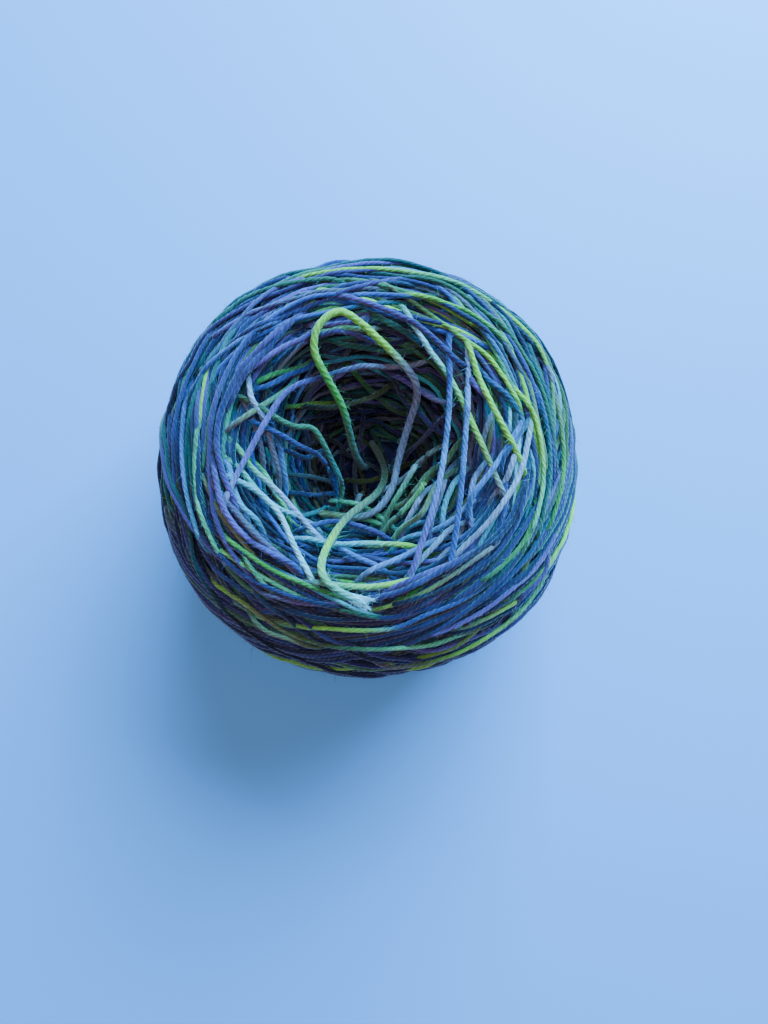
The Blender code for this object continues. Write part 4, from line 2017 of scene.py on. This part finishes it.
@dataclass(frozen=True)
class Lamp:
    """A rectangular soft light.

    Args:
        name: what it stands for.
        place: its middle.
        size: its width and height.
        power: in watts.
        colour: linear red, green and blue.
    """

    name: str
    place: tuple[float, float, float]
    size: tuple[float, float]
    power: float
    colour: tuple[float, float, float]

    def hang(self) -> None:
        """Hangs the lamp, facing the middle of the base."""
        area = bpy.data.lights.new(self.name, "AREA")
        area.shape = "RECTANGLE"
        area.size, area.size_y = self.size
        area.energy = self.power
        area.color = self.colour
        lamp = linked(self.name, area)
        lamp.location = self.place
        lamp.rotation_euler = (-Vector(self.place)).to_track_quat("-Z", "Y").to_euler()


@dataclass(frozen=True)
class Studio:
    """The table, the light and the camera."""

    lamps: tuple[Lamp, ...] = (
        Lamp("window", (0.25, 0.50, 0.44), (0.60, 0.48), 31.5, (0.08, 0.52, 1.0)),
        Lamp("ceiling", (0.0, 0.0, 1.0), (0.25, 0.25), 2.6, (0.55, 0.80, 1.0)),
    )
    room_colour: tuple[float, float, float] = (1.00, 0.70, 0.80)
    room_strength: float = 0.36
    table_half: float = 1.5
    table_squares: int = 8
    camera_place: tuple[float, float, float] = (3.0 * MM, -22.0 * MM, 185.0 * MM)
    camera_tilt: float = 5.0
    sensor_width: float = 36.0
    focal_length: float = 36.0
    nearest: float = 5.0 * MM

    def build(self) -> None:
        """Sets up everything that isn't the object."""
        self.table()
        for lamp in self.lamps:
            lamp.hang()
        self.room()
        self.camera()

    def table(self) -> None:
        """Lays the table top under the cake."""
        shape = bmesh.new()
        squares = self.table_squares
        bmesh.ops.create_grid(shape, x_segments=squares, y_segments=squares, size=self.table_half)
        table = made_of("table", shape)
        table.data.materials.append(TableFinish().build())

    def room(self) -> None:
        """Gives the surround an even pale colour."""
        world = bpy.data.worlds.new("room")
        world.use_nodes = True
        backdrop = world.node_tree.nodes["Background"]
        backdrop.inputs["Color"].default_value = (*self.room_colour, 1.0)
        backdrop.inputs["Strength"].default_value = self.room_strength
        bpy.context.scene.world = world

    def camera(self) -> None:
        """Looks down on the cake from a little in front of it."""
        lens = bpy.data.cameras.new("camera")
        lens.sensor_fit = "HORIZONTAL"
        lens.sensor_width = self.sensor_width
        lens.lens = self.focal_length
        lens.clip_start = self.nearest
        camera = linked("camera", lens)
        camera.location = self.camera_place
        camera.rotation_euler = (math.radians(self.camera_tilt), 0.0, 0.0)
        bpy.context.scene.camera = camera


AROUND_THE_CAKE = 2.0 * MM
BASE_REACH = 0.66


def main() -> None:
    """Builds the cake and its surroundings, in order."""
    logging.basicConfig(level=logging.INFO, format="%(name)s: %(message)s")
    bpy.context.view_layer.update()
    Studio().build()

    form = CakeForm(*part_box("wound_body"))
    wool = WoolFinish("wool").build()
    # taut yarn gets less painted shade in its ply valleys
    taut_wool = WoolFinish("taut_wool", valley_painted_shade=0.16, relief=0.16 * MM).build()
    mill = Mill()

    core = Core(form).build()
    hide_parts("wound_body")
    report(core)

    pile = PileMap(form)
    winder = Winder(form, pile, TAUT_YARN)
    for course in COURSES:
        winder.wind(course)
    turns = winder.strands()

    loop = Cord("slack_loop_yarn", SLACK_LOOP_ROUTE, SLACK_LOOP_DYES, "slack_loop", "loop_yarn", "object")
    end = Cord(
        "loose_end_yarn", LOOSE_END_ROUTE, LOOSE_END_DYES, "loose_end", "end_yarn", "bare",
        trim=LOOSE_END_TRIM,
    )
    terrain = Terrain(form.radius + AROUND_THE_CAKE)
    terrain.fill(form)
    for strand in turns:
        terrain.add(strand.points, strand.yarn)
    for cord in (loop, end):
        terrain.keep_below(cord.path, cord.yarn)
    layer = BridgeLayer(form, terrain, BRIDGE_YARN, RIM_YARN)
    bridges = [layer.lay(bridge) for bridge in BRIDGES]

    base = BaseTurns(BASE_REACH * form.radius).strands()
    fuzz = Fuzz().strands(turns + bridges + [loop.strand(), end.strand()])
    tip = FrayedTip(end.path)
    plies = tip.loose_plies()

    fibre = FibreFinish().build()
    for name, strands, finish in (
        ("turns", turns, taut_wool), ("bridges", bridges, wool), ("base_turns", base, taut_wool),
        ("fuzz", fuzz, fibre),
    ):
        for index, batch in enumerate(mill.batches(strands)):
            report(dress(mill.roll(f"{name}_{index + 1}", batch), finish, "wound_yarn"))
    loose_plies = dress(mill.roll("frayed_plies", plies), wool, "end_yarn")
    loose_fibres = dress(mill.roll("frayed_fibres", tip.loose_fibres(plies)), fibre, "end_yarn")
    report(loose_plies)
    report(loose_fibres)
    report(loop.build(mill, wool))
    report(end.build(mill, wool, [loose_plies, loose_fibres]))


if __name__ == "__main__":
    main()
